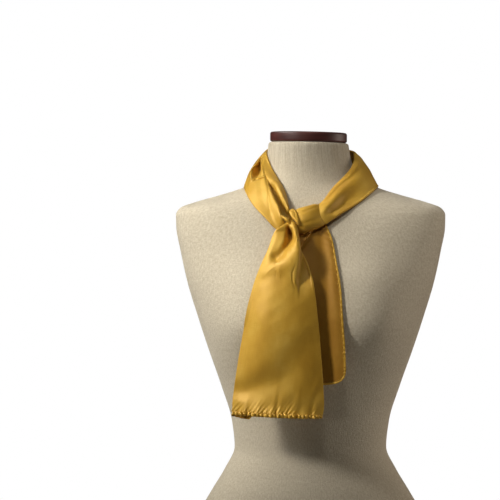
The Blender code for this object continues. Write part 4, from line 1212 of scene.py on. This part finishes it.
# which way an edge runs, which way leads into the cloth, and which way stands out in front
def edgeFrame(line, inward):
    tangent, inward = unit(np.gradient(line, axis=0)), np.array([inward])
    inside = unit(inward - np.sum(inward * tangent, axis=1)[:, None] * tangent)
    out = unit(np.cross(tangent, inside))
    return tangent, inside, np.where((out[:, 1] < 0)[:, None], out, -out)


def buildHem(name, line, inward, kind, seed, finish=None):
    s = hemRolls[kind]
    line, at = evenly(line, s["every"])
    _, inside, out = edgeFrame(line, inward)
    angles = np.linspace(0, 2 * math.pi, hemRolls["around"], endpoint=False)
    share, size = hemRolls["stray"]
    phase = 2 * math.pi * at / s["pitch"] + share * wander(at, at * 0, size, seed)
    twist = np.cos(phase[:, None] + s["slant"] * hemRolls["twist"] * np.cos(angles)[None, :])
    least, share, size = hemRolls["uneven"]
    uneven = (least + share * wander(at, at * 0, size, seed + 1))[:, None]
    groove = 1 - s["groove"] * (0.5 + 0.5 * twist) ** hemRolls["sharpness"] * uneven
    toEnd = np.minimum(at, at[-1] - at) / (s["width"] * hemRolls["endTaper"])
    ends = np.sqrt(np.clip(toEnd, 0.02, 1))[:, None]
    wide = s["width"] / 2 * np.cos(angles)[None, :] * (0.5 + 0.5 * groove) * ends
    deep = s["depth"] / 2 * np.sin(angles)[None, :] * groove * ends
    centre = line + inside * s["width"] * hemRolls["seat"]
    points = centre[:, None] + inside[:, None] * wide[..., None] + out[:, None] * deep[..., None]
    place = np.stack(np.broadcast_arrays(angles[None, :] * 0.001, at[:, None]), -1)
    mesh = gridMesh(name, points, place, wrap=True, caps=True)
    return showPiece(name, mesh, finish or satin)


# the side hems start a few rows down, behind the knot
upward, leftward = (0, 0, 1), (-1, 0, 0)
frontFoot, frontUnder = frontPoints[-1, frontFold:], frontPoints[-1, : frontFold - 3]
frontHems = [
    buildHem("frontFootHem", frontFoot, upward, "foot", 61),
    # the turned-under hem wears the darkened copy of the satin, painted shade for where it lies under the
    # front tail
    buildHem("frontUnderHem", frontUnder, upward, "side", 63, satinReverseAndPaintedShade),
    buildHem("frontSideHem", frontPoints[8:, -1], leftward, "side", 65),
]
rearHems = [
    buildHem("rearSideHem", rearPoints[10:, -1], leftward, "side", 71),
    buildHem("rearFootHem", rearPoints[-1], upward, "side", 73),
]

# sewing thread: short slanting stitches just inside each hem
threadSize = {
    "length": 0.0021,
    "gap": 0.0011,
    "thickness": 0.00036,
    "lift": 0.0009,
    "sink": 0.0005,  # how far a stitch's ends go into the cloth
    # rings as (place along the stitch, share of the thickness)
    "taper": ((-0.5, 0.25), (-0.42, 0.8), (-0.15, 1.0), (0.15, 1.0), (0.42, 0.8), (0.5, 0.25)),
    "around": 6,
}


# each line is (points, which way leads into the cloth, inset from the edge, slant)
def buildStitches(name, lines, finish):
    s = threadSize
    ring = np.linspace(0, 2 * math.pi, s["around"], endpoint=False)
    points, faces = [], []
    for line, inward, inset, slant in lines:
        line, _ = evenly(line, s["length"] + s["gap"])
        tangent, inside, out = edgeFrame(line, inward)
        for k in range(1, len(line) - 1):
            centre = line[k] + inside[k] * inset + out[k] * s["lift"]
            way = unit(tangent[k] + inside[k] * slant)
            side = np.cross(way, out[k])
            faces += gridFaces(len(s["taper"]), s["around"], wrap=True, caps=True, first=len(points))
            for share, size in s["taper"]:
                middle = centre + way * share * s["length"] - out[k] * s["sink"] * (2 * share) ** 4
                for angle in ring:
                    spoke = side * math.cos(angle) + out[k] * math.sin(angle)
                    points.append(tuple(middle + spoke * s["thickness"] / 2 * size))
    return showPiece(name, clothMesh(name, points, faces, points), finish)


thread = satinCloth("goldThread", (1.12, 1.12, 1.12), 0.5)
frontStitches = buildStitches("frontStitches", [
    (frontFoot, upward, 0.0058, 0.5),
    (frontPoints[12:-4, -1], leftward, 0.0034, 0.0),
], thread)
rearStitches = buildStitches("rearStitches", [
    (rearPoints[16:-3, -1], leftward, 0.0036, 0.15),
    (rearPoints[-1, 50:], upward, 0.0036, 0.0),
], thread)
print("hems and stitches made")

floorDisc = {
    "radius": 1.45,
    "rings": (0.02, 0.96, 18),
    "edge": ((0.985, -0.002), (1.0, -0.01)),  # (share of the radius, drop)
    "below": 0.0002,  # a hair under the board, so that no faces coincide
    "around": 96,
    "grey": (0.69, 0.685, 0.675),
    "pale": (0.73, 0.725, 0.715),
    "cloudsPerMetre": (3.0, 3.0, 3.0),
    "roughness": 0.7,
}


def addFloor():
    s = floorDisc
    turn = np.linspace(0, 2 * math.pi, s["around"], endpoint=False)
    levels = [(share, 0.0) for share in np.linspace(*s["rings"])] + list(s["edge"])
    rings = np.array([
        np.stack([s["radius"] * share * np.sin(turn), -s["radius"] * share * np.cos(turn),
                  np.full_like(turn, drop - s["below"])], -1)
        for share, drop in levels
    ])
    floor = bpy.data.objects.new("floor", gridMesh("floor", rings, rings[..., :2], wrap=True))
    bpy.context.scene.collection.objects.link(floor)
    finish, tree, shader = newFinish("paleFloor")
    cloud = clothNoise(tree, addNode(tree, "TexCoord").outputs["Object"], s["cloudsPerMetre"], 2.0)
    colour = ramp(tree, cloud, [(0.3, s["grey"]), (0.7, s["pale"])])
    fillShader(tree, shader, {"Base Color": colour, "Roughness": s["roughness"]})
    floor.data.materials.append(finish)


addFloor()
print("floor laid")
